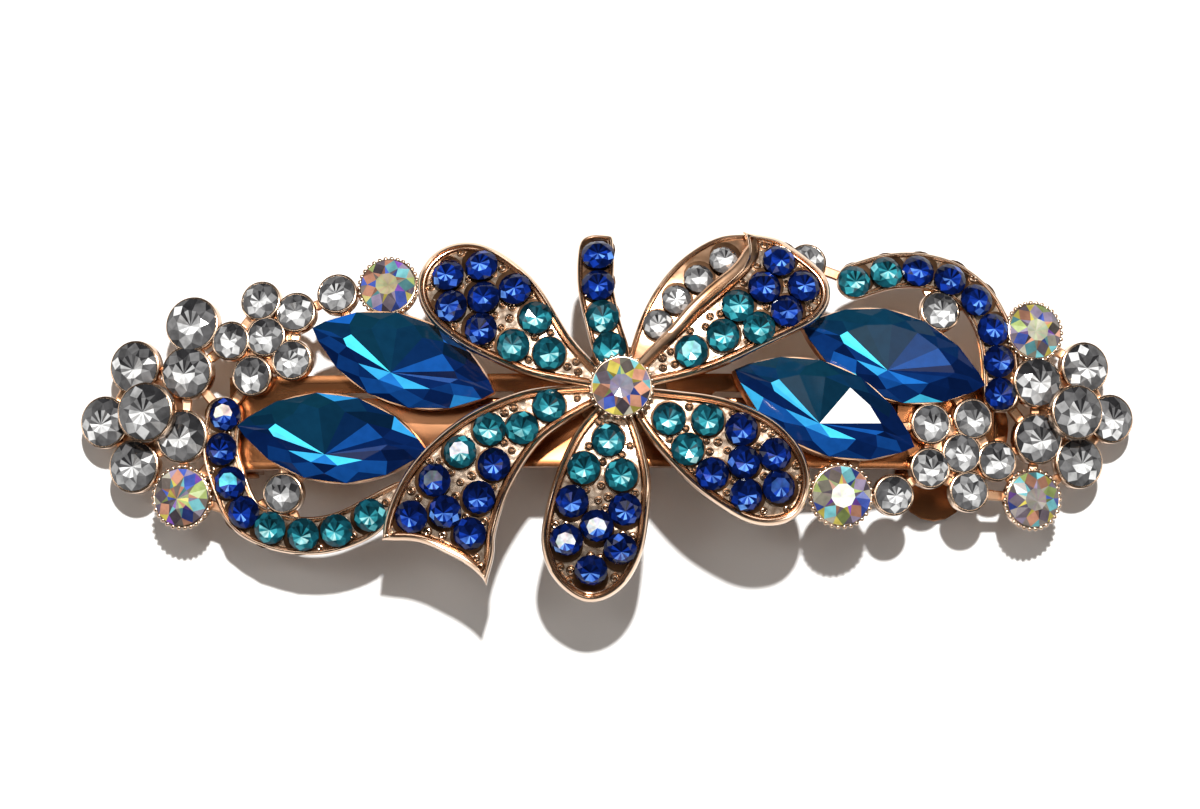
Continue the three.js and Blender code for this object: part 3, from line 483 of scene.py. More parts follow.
def cut_stone(shape, stone, palette, flash, tilt, sides=8, table_share=0.6, girdle=GIRDLE):
    """A round brilliant: table, star, main and girdle facets over a foiled cone."""
    radius = stone["radius"] * STONE_FULLNESS
    height = stone["height"]
    lean = Vector((rng.uniform(-tilt, tilt), rng.uniform(-tilt, tilt)))
    turn = rng.uniform(0, 2 * math.pi)

    def ring(share, z, count, offset):
        spots = []
        for k in range(count):
            angle = turn + 2 * math.pi * (k + offset) / count
            spot = Vector((share * radius * math.cos(angle), share * radius * math.sin(angle), z))
            if z > girdle:
                spot.z -= lean.dot(spot.xy)
            spots.append(spot)
        return spots

    culet = Vector((
        rng.uniform(-CULET_ASIDE, CULET_ASIDE) * radius,
        -rng.uniform(*CULET_DROP) * radius,
        height - CULET_DEPTH * radius,
    ))
    table = ring(table_share, height, sides, 0)
    wedge = ring(table_share * math.cos(math.pi / sides), height, sides, 0.5)
    middle = ring((1 + table_share) / 2 + MIDDLE_OUT, girdle + MIDDLE_UP * (height - girdle), sides, 0.5)
    edge = ring(1.0, girdle, 2 * sides, 0)
    under = ring(1.0, girdle - EDGE_BAND, 2 * sides, 0)
    base = ring(BASE_SHARE, 0.0, 2 * sides, 0)
    points = [culet, *table, *wedge, *middle, *edge, *under, *base]
    t0, w0, m0, e0, u0, b0 = (1 + sides * k for k in (0, 1, 2, 3, 5, 7))
    faces = []
    tints = []
    lighter = SMALL_LIGHTER if radius < LARGE_STONE else -SMALL_LIGHTER / 2

    def face(corners, level):
        faces.append(corners)
        tints.append(facet_tint(palette, level, lighter))

    def toward_front(corners):
        """From -1 at the stone's back to 1 at its front, where the painted light is strongest."""
        spot = sum((points[i].xy for i in corners), Vector((0, 0))) / len(corners)
        return -spot.normalized().y if spot.length > 0 else 0.0

    for k in range(sides):
        after = (k + 1) % sides
        before = (k - 1) % sides
        for corners, ray in zip(((0, t0 + k, w0 + k), (0, w0 + k, t0 + after)), RAYS):
            face(corners, facet_level(ROUND_FACETS["table"], toward_front(corners)) + ray)
        side = toward_front([m0 + k])
        spark = SPARK if rng.random() < SPARK_SHARE else 0.0
        face((t0 + k, m0 + k, w0 + k), facet_level(ROUND_FACETS["star"], side))
        face((w0 + k, m0 + k, t0 + after), facet_level(ROUND_FACETS["wedge"], side))
        kite = (t0 + k, m0 + before, e0 + 2 * k, m0 + k)
        face(kite, facet_level(ROUND_FACETS["kite"], side) + spark)
        for corner in (2 * k, 2 * k + 1):
            edge_facet = (m0 + k, e0 + corner, e0 + (corner + 1) % (2 * sides))
            face(edge_facet, facet_level(ROUND_FACETS["edge"], side))
    for k in range(2 * sides):
        after = (k + 1) % (2 * sides)
        face((e0 + k, u0 + k, u0 + after, e0 + after), GIRDLE_LEVEL)
        face((u0 + k, b0 + k, b0 + after, u0 + after), UNDER_LEVEL)
    face(tuple(b0 + k for k in range(2 * sides))[::-1], 0.0)
    for i, corners in enumerate(faces if flash else []):
        if corners[0] == 0 and (palette is AURORA or points[corners[1]].y > FLASH_EDGE * radius):
            tints[i] = tuple(c * rng.uniform(*FLASH_SHADES) for c in flash)
    shape.add(points, faces, tints, frame_at(stone["foot"], stone["axis"]))


# Small stones near the hub are teal, and those further out are royal blue.
TEAL_REACH = {
    "pave_petal_upper_left": 11, "pave_petal_stem": 8, "pave_petal_upper_right": 14,
    "pave_petal_lower_right": 9, "pave_petal_lower": 9,
}
LEFT_BAND_TEAL_FROM = -30
RIGHT_BAND_TEAL_TO = 25
LOWER_LEFT_TEAL_ABOVE = -3.7


def is_teal(node, spot):
    if node in TEAL_REACH:
        return (spot.xy - HUB["foot"].xy).length < TEAL_REACH[node]
    if node == "pave_left_band":
        return spot.x > LEFT_BAND_TEAL_FROM
    if node == "pave_right_band":
        return spot.x < RIGHT_BAND_TEAL_TO
    return node == "pave_petal_lower_left" and spot.y > LOWER_LEFT_TEAL_ABOVE


def flash_at(spot):
    for place, colour in FLASHES:
        if (spot.xy - Vector(place)).length < FLASH_REACH:
            return colour
    return None


FIELD_TILT = 0.02
SINGLE_TILT = 0.03
for node, found in fields.items():
    shape = Shape()
    clear = node == "pave_petal_strip"
    for stone in found:
        palette = CLEAR if clear else TEAL if is_teal(node, stone["table"]) else BLUE
        cut_stone(shape, stone, palette, flash_at(stone["table"]), FIELD_TILT, girdle=PAVE_GIRDLE)
    material, slot = (GLASS_CLEAR, "clear_stone") if clear else (GLASS_BLUE, "blue_stone")
    piece = make_piece(node.replace("pave", "stones"), shape, material, slot)
    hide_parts(node)

for node, stone in rounds.items():
    shape = Shape()
    aurora = node.startswith("aurora")
    palette, table_share = (AURORA, 0.42) if aurora else (CLEAR, 0.5)
    sides = 9 if stone["radius"] > LARGE_STONE else 8
    cut_stone(shape, stone, palette, AURORA_TABLES.get(node), SINGLE_TILT, sides, table_share)
    material, slot = (GLASS_AURORA, "aurora_stone") if aurora else (GLASS_CLEAR, "clear_stone")
    piece = make_piece(f"{node}_stone", shape, material, slot)
    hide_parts(node)


def oval_point(angle, length, width):
    """A point on a pointed oval with tips on X, for a half length and a half width."""
    arc = (length**2 + width**2) / (2 * width)
    x = length * math.cos(angle)
    y = math.sqrt(max(0.0, arc**2 - x * x)) - (arc - width)
    return Vector((x, math.copysign(y, math.sin(angle)) if abs(math.sin(angle)) > 1e-9 else 0.0, 0.0))


def oval_place(stone):
    """Where an oval stone stands: its X runs along it, to the right."""
    along = stone["along"] if stone["along"].x > 0 else -stone["along"]
    return frame_at(stone["foot"], stone["axis"], along)


NAVETTE_GIRDLE = 0.9
NAVETTE_SIDES = 14
NAVETTE_TABLE = 0.66
NAVETTE_MIDDLE = 0.85
NAVETTE_MIDDLE_UP = 0.55
NAVETTE_EDGE_BAND = 0.22
NAVETTE_BASE = 0.82
# Facets of the foiled cone that catch the light: direction in degrees, and how much brighter
NAVETTE_WINDOWS = [
    (167, 0.80), (193, 0.62), (244, 0.42), (270, 0.3), (296, 0.5), (347, 0.2), (39, 0.32), (64, 0.16),
    (116, 0.12),
]
NAVETTE_CULET_DROP = 1.4  # its cone's point is seen this far below its middle
FLASH_ANGLES = (30, 80)  # where the raised navette mirrors a light
GREEN_ANGLE = 125  # dark facets in this direction have a cast of green
GREEN_BELOW = 0.45
GREEN_MOST = 0.7


def cut_navette(shape, stone):
    """A pointed oval stone: long crown facets round a wide table with the foiled cone's facets in it."""
    height = stone["height"]
    sides = NAVETTE_SIDES

    def ring(share, z, offset=0):
        angles = [2 * math.pi * (k + offset) / sides for k in range(sides)]
        spots = [oval_point(angle, stone["length"], stone["width"]) * share for angle in angles]
        return [Vector((s.x, s.y, z)) for s in spots]

    table = ring(NAVETTE_TABLE, height)
    middle = ring(NAVETTE_MIDDLE, NAVETTE_GIRDLE + NAVETTE_MIDDLE_UP * (height - NAVETTE_GIRDLE), 0.5)
    edge = ring(STONE_FULLNESS, NAVETTE_GIRDLE)
    under = ring(STONE_FULLNESS, NAVETTE_GIRDLE - NAVETTE_EDGE_BAND)
    base = ring(NAVETTE_BASE, 0.0)
    culet = Vector((rng.uniform(-0.6, 0.2), rng.uniform(-0.2, 0.2) - NAVETTE_CULET_DROP, height - 0.2))
    points = [culet, *table, *middle, *edge, *under, *base]
    t0, m0, e0, u0, b0 = (1 + sides * k for k in range(5))
    faces = []
    tints = []

    def face(corners, level, angle):
        green = max(0.0, math.cos(angle - math.radians(GREEN_ANGLE))) ** 2
        colour = tint(OCEAN, level)
        if level < GREEN_BELOW:
            colour = tuple(c + (g - c) * GREEN_MOST * green for c, g in zip(colour, OCEAN_GREEN))
        faces.append(corners)
        tints.append(colour)

    for k in range(sides):
        after = (k + 1) % sides
        before = (k - 1) % sides
        angle = 2 * math.pi * (k + 0.5) / sides
        # low runs from -1 at the back to 1 at the front; facets are painted lighter towards the front, as
        # painted light.
        low = -math.sin(angle)
        shines = [shine for at, shine in NAVETTE_WINDOWS if abs(angle - math.radians(at)) < math.pi / sides]
        face((0, t0 + k, t0 + after), facet_level(OVAL_FACETS["table"], low) + sum(shines), angle)
        if stone["name"] == "navette_right_lower" and FLASH_ANGLES[0] < math.degrees(angle) < FLASH_ANGLES[1]:
            tints[-1] = WHITE_FLASH
        face((t0 + k, m0 + k, t0 + after), facet_level(OVAL_FACETS["star"], low), angle)
        kite = (t0 + k, m0 + before, e0 + k, m0 + k)
        face(kite, facet_level(OVAL_FACETS["kite"], low), angle)
        glint = GLINT if rng.random() < GLINT_SHARE else 0.0
        face((m0 + k, e0 + k, e0 + after), facet_level(OVAL_FACETS["edge"], low) + glint, angle)
        face((e0 + k, u0 + k, u0 + after, e0 + after), GIRDLE_LEVEL, angle)
        face((u0 + k, b0 + k, b0 + after, u0 + after), UNDER_LEVEL, angle)
    face(tuple(b0 + k for k in range(sides))[::-1], 0.0, 0.0)
    shape.add(points, faces, tints, oval_place(stone))


for node, stone in navettes.items():
    shape = Shape()
    cut_navette(shape, stone)
    piece = make_piece(f"{node}_stone", shape, GLASS_OCEAN, "ocean_stone")
    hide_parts(node)

# ---- cups
def cup_profile(radius, rim):
    outer = radius + CUP_WALL
    inner = radius - 0.02
    return [
        (0, 0), (outer - 0.3, 0), (outer - 0.08, 0.08), (outer, 0.28), (outer, rim - 0.2),
        (outer - 0.04, rim - 0.06), (outer - 0.13, rim), (inner + 0.1, rim), (inner + 0.02, rim - 0.05),
        (inner, rim - 0.16), (inner, CUP_FLOOR), (0, CUP_FLOOR),
    ]


BEAD_PROFILE = [(0, -0.25), (0.6, -0.2), (0.98, 0.15), (0.9, 0.6), (0.55, 0.9), (0, 1.0)]
BEAD_COUNT = 30
BEAD_SIDES = 8


def add_cup(shape, stone):
    foot = stone["foot"] - stone["axis"] * (CUP_FLOOR + STONE_GAP)
    place = frame_at(foot, stone["axis"])
    rim = CUP_FLOOR + STONE_GAP + GIRDLE - 0.08
    shape.add(*turned(cup_profile(stone["radius"], rim), CUP_SEGMENTS), place=place)
    return place, rim


def add_beads(shape, place, stone, height, size):
    """A ring of beads round a stone's cup."""
    points, faces = turned([(r * size, z * size) for r, z in BEAD_PROFILE], BEAD_SIDES)
    radius = stone["radius"] + CUP_WALL - 0.02
    for k in range(BEAD_COUNT):
        angle = 2 * math.pi * k / BEAD_COUNT
        spot = Matrix.Translation((radius * math.cos(angle), radius * math.sin(angle), height))
        shape.add(points, faces, place=place @ spot)


SPRAYS = {"left": -1, "right": 1}
# The post under the raised stone at the middle of each spray's large flower
RAISED = 2.15
POST_RADIUS = 1.15
POST_SECTION = [(0, -RAISED), (POST_RADIUS, -RAISED), (POST_RADIUS, -0.3), (POST_RADIUS + 0.4, 0.1), (0, 0.1)]


def in_spray(stone, side):
    return stone["foot"].x * side > 0 and stone["name"] != "aurora_hub"


for side_name, side in SPRAYS.items():
    cups = Shape()
    for node, stone in rounds.items():
        if not in_spray(stone, side):
            continue
        place, rim = add_cup(cups, stone)
        if node.startswith("aurora"):
            add_beads(cups, place, stone, rim - 0.2, 0.22)
        if node.endswith("_centre") and node.startswith("clear"):
            cups.add(*turned(POST_SECTION, 20), place=place)
    piece = make_piece(f"{side_name}_cups", cups, GOLD, "rose_gold", smooth=40)
    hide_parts(f"{side_name}_spray_casting")

hub = Shape()
hub_place, hub_rim = add_cup(hub, HUB)
add_beads(hub, hub_place, HUB, hub_rim - 0.25, 0.2)
piece = make_piece("hub_cup", hub, GOLD, "rose_gold", smooth=40)
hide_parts("bow_casting")

# ---- oval settings
BEZEL_POINTS = 56


def oval_ring(length, width, height):
    ring = [oval_point(2 * math.pi * k / BEZEL_POINTS, length, width) for k in range(BEZEL_POINTS)]
    return [Vector((p.x, p.y, height)) for p in ring]
bezels = Shape()
for stone in navettes.values():
    foot = stone["foot"]
    bottom = ornament_z(foot.x, foot.y) + SEAT_GAP - foot.z
    rim = NAVETTE_GIRDLE - 0.18
    # From its foot up, over its rim and in under the stone: (past the tips, past the sides, height)
    section = [
        (0.2, 0.1, bottom), (0.36, 0.2, bottom + 0.12), (0.36, 0.2, rim - 0.14), (0.3, 0.16, rim),
        (0.12, 0.06, rim), (0.02, 0.01, rim - 0.12), (0.0, 0.0, 0.0), (-0.5, -0.5, -0.05),
    ]
    rings = [oval_ring(stone["length"] + tips, stone["width"] + sides, z) for tips, sides, z in section]
    bezels.add(*stacked(rings), place=oval_place(stone))
make_piece("navette_bezels", bezels, GOLD_CAST, "rose_gold", smooth=40)

# ---- outlines and trays
def smooth_curve(points, closed, step):
    """Points about step apart on a Catmull-Rom curve through the given plan points."""
    count = len(points)
    found = []
    spans = count if closed else count - 1
    for i in range(spans):
        p0 = points[(i - 1) % count] if closed or i > 0 else points[0] * 2 - points[1]
        p1 = points[i]
        p2 = points[(i + 1) % count]
        p3 = points[(i + 2) % count] if closed or i + 2 < count else points[-1] * 2 - points[-2]
        pieces = max(1, round((p2 - p1).length / step))
        for j in range(pieces):
            t = j / pieces
            square = 2 * p0 - 5 * p1 + 4 * p2 - p3
            cube = 3 * p1 - p0 - 3 * p2 + p3
            found.append(0.5 * (2 * p1 + (p2 - p0) * t + square * t**2 + cube * t**3))
    if not closed:
        found.append(points[-1].copy())
    return found


def spaced(ring, step):
    """The same closed ring with its points evenly spaced."""
    lengths = [(b - a).length for a, b in zip(ring, ring[1:] + ring[:1])]
    total = sum(lengths)
    count = max(8, round(total / step))
    found = []
    i, passed = 0, 0.0
    for k in range(count):
        target = total * k / count
        while passed + lengths[i] < target:
            passed += lengths[i]
            i += 1
        share = (target - passed) / lengths[i]
        found.append(ring[i].lerp(ring[(i + 1) % len(ring)], share))
    return found


def relaxed(ring, times, share=0.25):
    for _ in range(times):
        beside = [ring[k - 1] + ring[(k + 1) % len(ring)] for k in range(len(ring))]
        ring = [p * (1 - 2 * share) + pair * share for p, pair in zip(ring, beside)]
    return ring


def signed_area(ring):
    return sum(a.x * b.y - a.y * b.x for a, b in zip(ring, ring[1:] + ring[:1])) / 2


def inward_normals(ring):
    return [
        Vector((-along.y, along.x))
        for along in ((ring[(k + 1) % len(ring)] - ring[k - 1]).normalized() for k in range(len(ring)))
    ]


FAR = 100.0  # further than any two points of a ring are apart
NEAR_POINTS = 6  # points this near along a ring don't face each other
FACING = 0.75
WIDTH_SHARE = 0.4
LOOP_POINTS = 24  # the longest loop that is drawn out straight
INWARD_STEP = 0.12
INWARD_EASE = 0.12


def half_widths(ring):
    """How far each point of a ring can move inwards before it nears the other side."""
    normals = inward_normals(ring)
    widths = []
    for k, p in enumerate(ring):
        best = FAR
        for j, q in enumerate(ring):
            apart = min((j - k) % len(ring), (k - j) % len(ring))
            across = q - p
            if apart > NEAR_POINTS and across.dot(normals[k]) > FACING * across.length:
                best = min(best, across.length)
        widths.append(WIDTH_SHARE * best)
    return widths


def untangled(ring):
    """The same ring with small loops drawn out straight, and as many points as before."""
    count = len(ring)
    ring = list(ring)
    for i in range(count):
        for gap in range(LOOP_POINTS, 1, -1):
            j = i + gap
            a, b = ring[i], ring[(i + 1) % count]
            c, d = ring[j % count], ring[(j + 1) % count]
            if intersect_line_line_2d(a, b, c, d):
                for k in range(1, gap + 1):
                    ring[(i + k) % count] = a.lerp(d, k / (gap + 1))
                break
    return ring


def moved_in(ring, distance, limits=None):
    """A counter-clockwise ring moved inwards in small steps, or outwards by a negative distance."""
    steps = max(1, math.ceil(abs(distance) / INWARD_STEP))
    limits = limits or [FAR] * len(ring)
    for _ in range(steps):
        normals = inward_normals(ring)
        moved = [p + n * (min(distance, limit) / steps) for p, n, limit in zip(ring, normals, limits)]
        ring = untangled(relaxed(moved, 1, INWARD_EASE))
    return ring


def inside(ring, x, y):
    odd = False
    for a, b in zip(ring, ring[1:] + ring[:1]):
        if (a.y > y) != (b.y > y) and x < a.x + (y - a.y) * (b.x - a.x) / (b.y - a.y):
            odd = not odd
    return odd


def ring_distance(ring, x, y):
    spot = Vector((x, y))
    return min((p - spot).length for p in ring)


UNDERSIDE = -0.8  # the most Z that the normal of an underside has


def film_underside(node):
    """The lower face of a field's adhesive film: the ring of its edge, and all its points."""
    work = node_mesh(node)
    left = dict.fromkeys(f for f in work.faces if f.normal.z < UNDERSIDE)  # keeps the mesh's order
    best, best_area = {}, 0.0
    while left:
        front = [left.popitem()[0]]
        group = dict.fromkeys(front)
        while front:
            for edge in front.pop().edges:
                for other in edge.link_faces:
                    if other in left:
                        del left[other]
                        group[other] = None
                        front.append(other)
        area = sum(f.calc_area() for f in group)
        if area > best_area:
            best, best_area = group, area
    borders = [e for f in best for e in f.edges if sum(o in best for o in e.link_faces) == 1]
    follow = {}
    for edge in borders:
        for a, b in (edge.verts, reversed(edge.verts)):
            follow.setdefault(a, []).append(b)
    start = max(follow, key=lambda v: v.co.length)
    ring, before, here = [start], None, start
    while True:
        ahead = [v for v in follow[here] if v is not before]
        before, here = here, ahead[0]
        if here is start:
            break
        ring.append(here)
    edge_ring = [v.co.xy for v in ring]
    points = [v.co.copy() for v in dict.fromkeys(v for f in best for v in f.verts)]
    work.free()
    if signed_area(edge_ring) < 0:
        edge_ring.reverse()
    return edge_ring, points


RIDGE = 1e-4  # holds the fit's weights small
SLOPE_STEP = 0.05


def fitted_surface(points, degree):
    """A smooth height over the plan that passes near the given points."""
    centre = np.mean([(p.x, p.y) for p in points], axis=0)
    powers = [(i, j) for i in range(degree + 1) for j in range(degree + 1 - i)]

    def terms(x, y):
        u, v = (x - centre[0]) / 10, (y - centre[1]) / 10
        return np.array([u**i * v**j for i, j in powers])

    rows = np.array([terms(p.x, p.y) for p in points])
    heights = np.array([p.z for p in points])
    weights = np.linalg.solve(rows.T @ rows + RIDGE * np.eye(len(powers)), rows.T @ heights)
    return lambda x, y: float(terms(x, y) @ weights)


def normal_of(surface, x, y):
    slope_x = (surface(x + SLOPE_STEP, y) - surface(x - SLOPE_STEP, y)) / (2 * SLOPE_STEP)
    slope_y = (surface(x, y + SLOPE_STEP) - surface(x, y - SLOPE_STEP)) / (2 * SLOPE_STEP)
    return Vector((-slope_x, -slope_y, 1)).normalized()


def on(surface, spot, up=0.0):
    """The point on a surface at a plan point, or so far above it."""
    return Vector((spot.x, spot.y, surface(spot.x, spot.y) + up))


# A tray's edge in section, from its underside over a double rim to its floor: (distance in, height)
RIM_SECTION = [
    (0.16, 0.0), (0.03, 0.08), (0.0, 0.25), (0.03, 0.8), (0.10, 1.12), (0.19, 1.3), (0.29, 1.36), (0.40, 1.3),
    (0.47, 1.08), (0.51, 0.76), (0.58, 0.74), (0.63, 0.95), (0.71, 1.03), (0.79, 0.96), (0.84, 0.78),
    (0.88, 0.62),
]
RIM_FOOT = 0.1  # points of the section that are lower than this stay as low on any tray
# A tray's two faces: how far apart their points are, how far those may stray aside, and in height
UNDER_FACE = (1.2, 0.0, 0.0)
FLOOR_FACE = (0.55, 0.1, 0.05)
EDGE_KEEP_OFF = 0.6  # the least distance of such a point from the edge, over the points' spacing


def filled(ring, spacing, jitter):
    """A triangulation of a ring's inside: extra plan points, and faces over ring points + extra points."""
    xs, ys = [p.x for p in ring], [p.y for p in ring]
    extra = []
    y = min(ys)
    while y < max(ys):
        x = min(xs)
        while x < max(xs):
            px, py = x + rng.uniform(-jitter, jitter), y + rng.uniform(-jitter, jitter)
            if inside(ring, px, py) and ring_distance(ring, px, py) > EDGE_KEEP_OFF * spacing:
                extra.append(Vector((px, py)))
            x += spacing
        y += spacing
    edges = [(k, (k + 1) % len(ring)) for k in range(len(ring))]
    coords, _, faces, origin, _, _ = delaunay_2d_cdt(ring + extra, edges, [], 1, 1e-6)
    if len(coords) != len(ring) + len(extra):
        raise ValueError(f"an outline crosses itself: {len(coords)} points from {len(ring) + len(extra)}")
    return extra, [tuple(origin[i][0] for i in face) for face in faces]


def add_tray(shape, outline, surface, floor, rim, narrow):
    """A tray or a rimmed strip on a surface. Returns the ring of its floor's edge."""
    rings = []
    limits = half_widths(outline)
    for inward, height in RIM_SECTION:
        if height > PETAL_FLOOR:
            height = floor + (height - PETAL_FLOOR) * (rim - floor) / (RIM_HEIGHT - PETAL_FLOOR)
        elif height > RIM_FOOT:
            height *= floor / PETAL_FLOOR
        ring = moved_in(outline, inward * narrow, limits)
        rings.append([on(surface, p, height) for p in ring])
    count = len(outline)
    points, faces = joined(rings)
    last = len(points) - count
    under = (0, 0.0, UNDER_FACE)
    top = (last, floor + 0.02, FLOOR_FACE)
    for first, height, (spacing, jitter, rough) in (under, top):
        extra, inner = filled([p.xy for p in points[first:first + count]], spacing, jitter)
        start = len(points)
        points += [on(surface, p, height + rng.uniform(-rough, rough)) for p in extra]
        faces += [tuple(first + i if i < count else start + i - count for i in face) for face in inner]
    shape.add(points, faces)
    return [p.xy for p in rings[-1]]


STUD_PROFILE = [
    (0, -0.3), (1.0, -0.3), (1.0, 0.3), (0.9, 0.62), (0.7, 0.72), (0.5, 0.62), (0.4, 0.1), (0, 0.05),
]
STUD_TRIES = 2600
STUD_SIZES = (0.28, 0.35)
STUD_SIDES = 12
STUD_SPACING = 0.8
STUD_REACH = 1.5  # no stud is further than this from a stone
STUD_TO_EDGE = 0.7  # the least distance from the floor's edge, over the stud's size
HUB_KEEP_OFF = 0.9
SHADE_DISC_SIDES = 20


def add_recess(shape, foot, normal, radius):
    """Painted shade for the dark gap round a stone or a stud, as a thin dished ring on the floor."""
    section = [(0, -0.2), (radius, -0.2), (radius, 0.02), (radius - 0.05, 0.035), (0, 0.035)]
    shape.add(*turned(section, SHADE_DISC_SIDES), place=frame_at(foot, normal))


def add_studs(shape, shade_discs, ring, found, surface, floor):
    """Small ring-topped studs on a tray's floor, in the gaps between its stones."""
    xs, ys = [p.x for p in ring], [p.y for p in ring]
    spots = []
    for _ in range(STUD_TRIES):
        x, y = rng.uniform(min(xs), max(xs)), rng.uniform(min(ys), max(ys))
        size = rng.uniform(*STUD_SIZES)
        near_stone = min(math.hypot(x - s["table"].x, y - s["table"].y) - s["radius"] for s in found)
        if near_stone < size or near_stone > STUD_REACH or not inside(ring, x, y):
            continue
        if ring_distance(ring, x, y) < size * STUD_TO_EDGE:
            continue
        if any(math.hypot(x - a, y - b) < STUD_SPACING for a, b in spots):
            continue
        if math.hypot(x - HUB["foot"].x, y - HUB["foot"].y) < HUB["radius"] + HUB_KEEP_OFF:
            continue
        spots.append((x, y))
        points, faces = turned([(r * size, z * size) for r, z in STUD_PROFILE], STUD_SIDES)
        normal = normal_of(surface, x, y)
        foot = on(surface, Vector((x, y))) + normal * (floor + 0.04)
        shape.add(points, faces, place=frame_at(foot, normal))
        # Painted shade round the stud, and in the hollow of its ring top.
        add_recess(shade_discs, foot, normal, size + 0.07)
        add_recess(shade_discs, foot + normal * 0.04, normal, size * 0.42)


def chained(found):
    """Stones of a row in order from one end to the other."""
    centre = sum((s["table"] for s in found), Vector()) / len(found)
    row = [max(found, key=lambda s: (s["table"] - centre).length)]
    rest = [s for s in found if s is not row[0]]
    while rest:
        row.append(min(rest, key=lambda s: (s["table"] - row[-1]["table"]).length))
        rest.remove(row[-1])
    return [s["table"].xy for s in row]


casting_points = [v.co.xy / MM for v in frame["nodes"]["bow_casting"].data.vertices]
CORNER_TURN = 50  # an outline has a corner where its film turns by more degrees than this
CORNER_AHEAD = 2.7  # how far beyond the film's corner the casting's corner is looked for
CORNER_ASIDE = 1.1
PINCH_REACH = 1.9  # how far along the edge a corner is drawn out
HUB_REACH = 6.5  # within this distance of the hub a petal narrows towards it
HUB_TUCK = 1.3  # and ends this far from its centre, under the cup


def pinched(outline, film):
    """The outline with its sharp corners drawn out to the casting's own corners."""
    for before, corner, after in zip(film[-1:] + film[:-1], film, film[1:] + film[:1]):
        come = (corner - before).normalized()
        go = (after - corner).normalized()
        turn = math.atan2(come.x * go.y - come.y * go.x, come.dot(go))
        if turn < math.radians(CORNER_TURN) or (corner - HUB["foot"].xy).length < HUB_REACH:
            continue
        out = (come - go).normalized()
        near = [p for p in casting_points if (p - corner).length < CORNER_AHEAD]
        ahead = [p for p in near if abs(out.cross(p - corner)) < CORNER_ASIDE]
        tip = max(ahead, key=lambda p: out.dot(p - corner))
        nearest = min((p - tip).length for p in outline)
        moved = []
        for p in outline:
            away = (p - tip).length
            share = max(0.0, 1 - (away - nearest) / PINCH_REACH)
            moved.append(p.lerp(tip, share**2 * nearest / max(nearest, away)))
        outline = moved
    return outline


def drawn_in(film):
    """The film's edge with its end by the hub drawn in under the hub's cup."""
    centre = HUB["foot"].xy
    nearest = min((p - centre).length for p in film)
    drawn = []
    for p in film:
        out = (p - centre).length
        if out < HUB_REACH:
            share = (out - nearest) / (HUB_REACH - nearest)
            p = centre.lerp(p, (HUB_TUCK + share * (HUB_REACH - HUB_TUCK)) / out)
        drawn.append(p)
    return drawn


BAND_HALF_WIDTH = 1.62
BAND_FLOOR = 0.9
BAND_RIM = 1.2
BAND_TIP_WIDTH = 0.5
LEFT_BAND_TIP = (-17.7, -5.9)  # the left band runs on past its last stone to a point
LEFT_BAND_TAPER = 4.4  # and narrows over this stretch
END_STEPS = 12


def across_line(line, k):
    """The unit vector to the left of a line of plan points, at its point k."""
    along = (line[min(k + 1, len(line) - 1)] - line[max(k - 1, 0)]).normalized()
    return Vector((-along.y, along.x))


def ribbon_outline(line, taper):
    """A closed ring round a line of plan points, with round ends. It narrows to a tip over its taper."""
    curve = smooth_curve(line, False, OUTLINE_STEP)
    sides = []
    for k, p in enumerate(curve):
        share = min(1.0, (p - curve[-1]).length / taper) if taper else 1.0
        width = BAND_TIP_WIDTH + (BAND_HALF_WIDTH - BAND_TIP_WIDTH) * math.sin(share * math.pi / 2)
        sides.append((p, across_line(curve, k) * width))
    ring = [p - n for p, n in sides]
    for (p, n), direction in ((sides[-1], 1), (sides[0], -1)):
        for step in range(1, END_STEPS):
            angle = math.pi * step / END_STEPS
            aside = n * math.cos(angle) * direction
            ring.append(p - aside + Vector((n.y, -n.x)) * math.sin(angle) * direction)
        if direction == 1:
            ring += [q + m for q, m in reversed(sides)]
    return relaxed(spaced(ring, OUTLINE_STEP), 1)


def band_outline(node, found):
    line = chained(found)
    if node != "pave_left_band":
        return ribbon_outline(line, 0.0)
    if abs(line[0].x) < abs(line[-1].x):
        line.reverse()
    return ribbon_outline(line + [Vector(LEFT_BAND_TIP)], LEFT_BAND_TAPER)


# The two flat strips of ribbon, from the hub's centre, in runs from corner to corner
STRIPS = {
    "pave_petal_stem": [
        [(-0.7, 13.3), (-2.6, 13.4), (-3.6, 12.5), (-3.75, 9.0), (-3.1, 5.6), (-2.1, 2.2), (-0.6, 0.2)],
        [(-0.6, 0.2), (0.7, 0.8)],
        [(0.7, 0.8), (0.7, 3.2), (0.0, 5.6), (-0.6, 8.6), (-0.55, 11.0), (-0.7, 13.3)],
    ],
    "pave_petal_strip": [
        [(11.7, 13.6), (8.6, 13.3), (6.0, 11.9), (3.8, 9.8), (2.1, 7.1), (1.0, 4.2), (0.2, 0.9)],
        [(0.2, 0.9), (1.3, 0.6)],
        [(1.3, 0.6), (4.4, 4.4), (6.9, 7.0), (9.6, 9.4), (11.2, 11.6), (11.7, 13.6)],
    ],
}
STRIP_RIM = 0.98
LOW_RIM_NARROW = 0.6  # a low rim is this much as wide as a petal's
STONE_SHADE_MARGIN = 0.12


def strip_outline(node):
    """A closed ring through a strip's runs, with a corner where one run meets the next."""
    ring = []
    for run in STRIPS[node]:
        ring += smooth_curve([Vector(p) + HUB["foot"].xy for p in run], False, OUTLINE_STEP)[:-1]
    return relaxed(spaced(ring, OUTLINE_STEP), 1)


def petal_outline(film):
    curve = smooth_curve(drawn_in(film), True, OUTLINE_STEP)
    outline = spaced(relaxed(moved_in(spaced(curve, OUTLINE_STEP), -BED_INSET), 2), OUTLINE_STEP)
    return spaced(pinched(outline, film), OUTLINE_STEP)


def bed_surface(film_points, degree):
    """The underside of a petal, a fixed depth below the film that lies in it."""
    return fitted_surface([p - Vector((0, 0, PETAL_FLOOR + BED_GAP)) for p in film_points], degree)


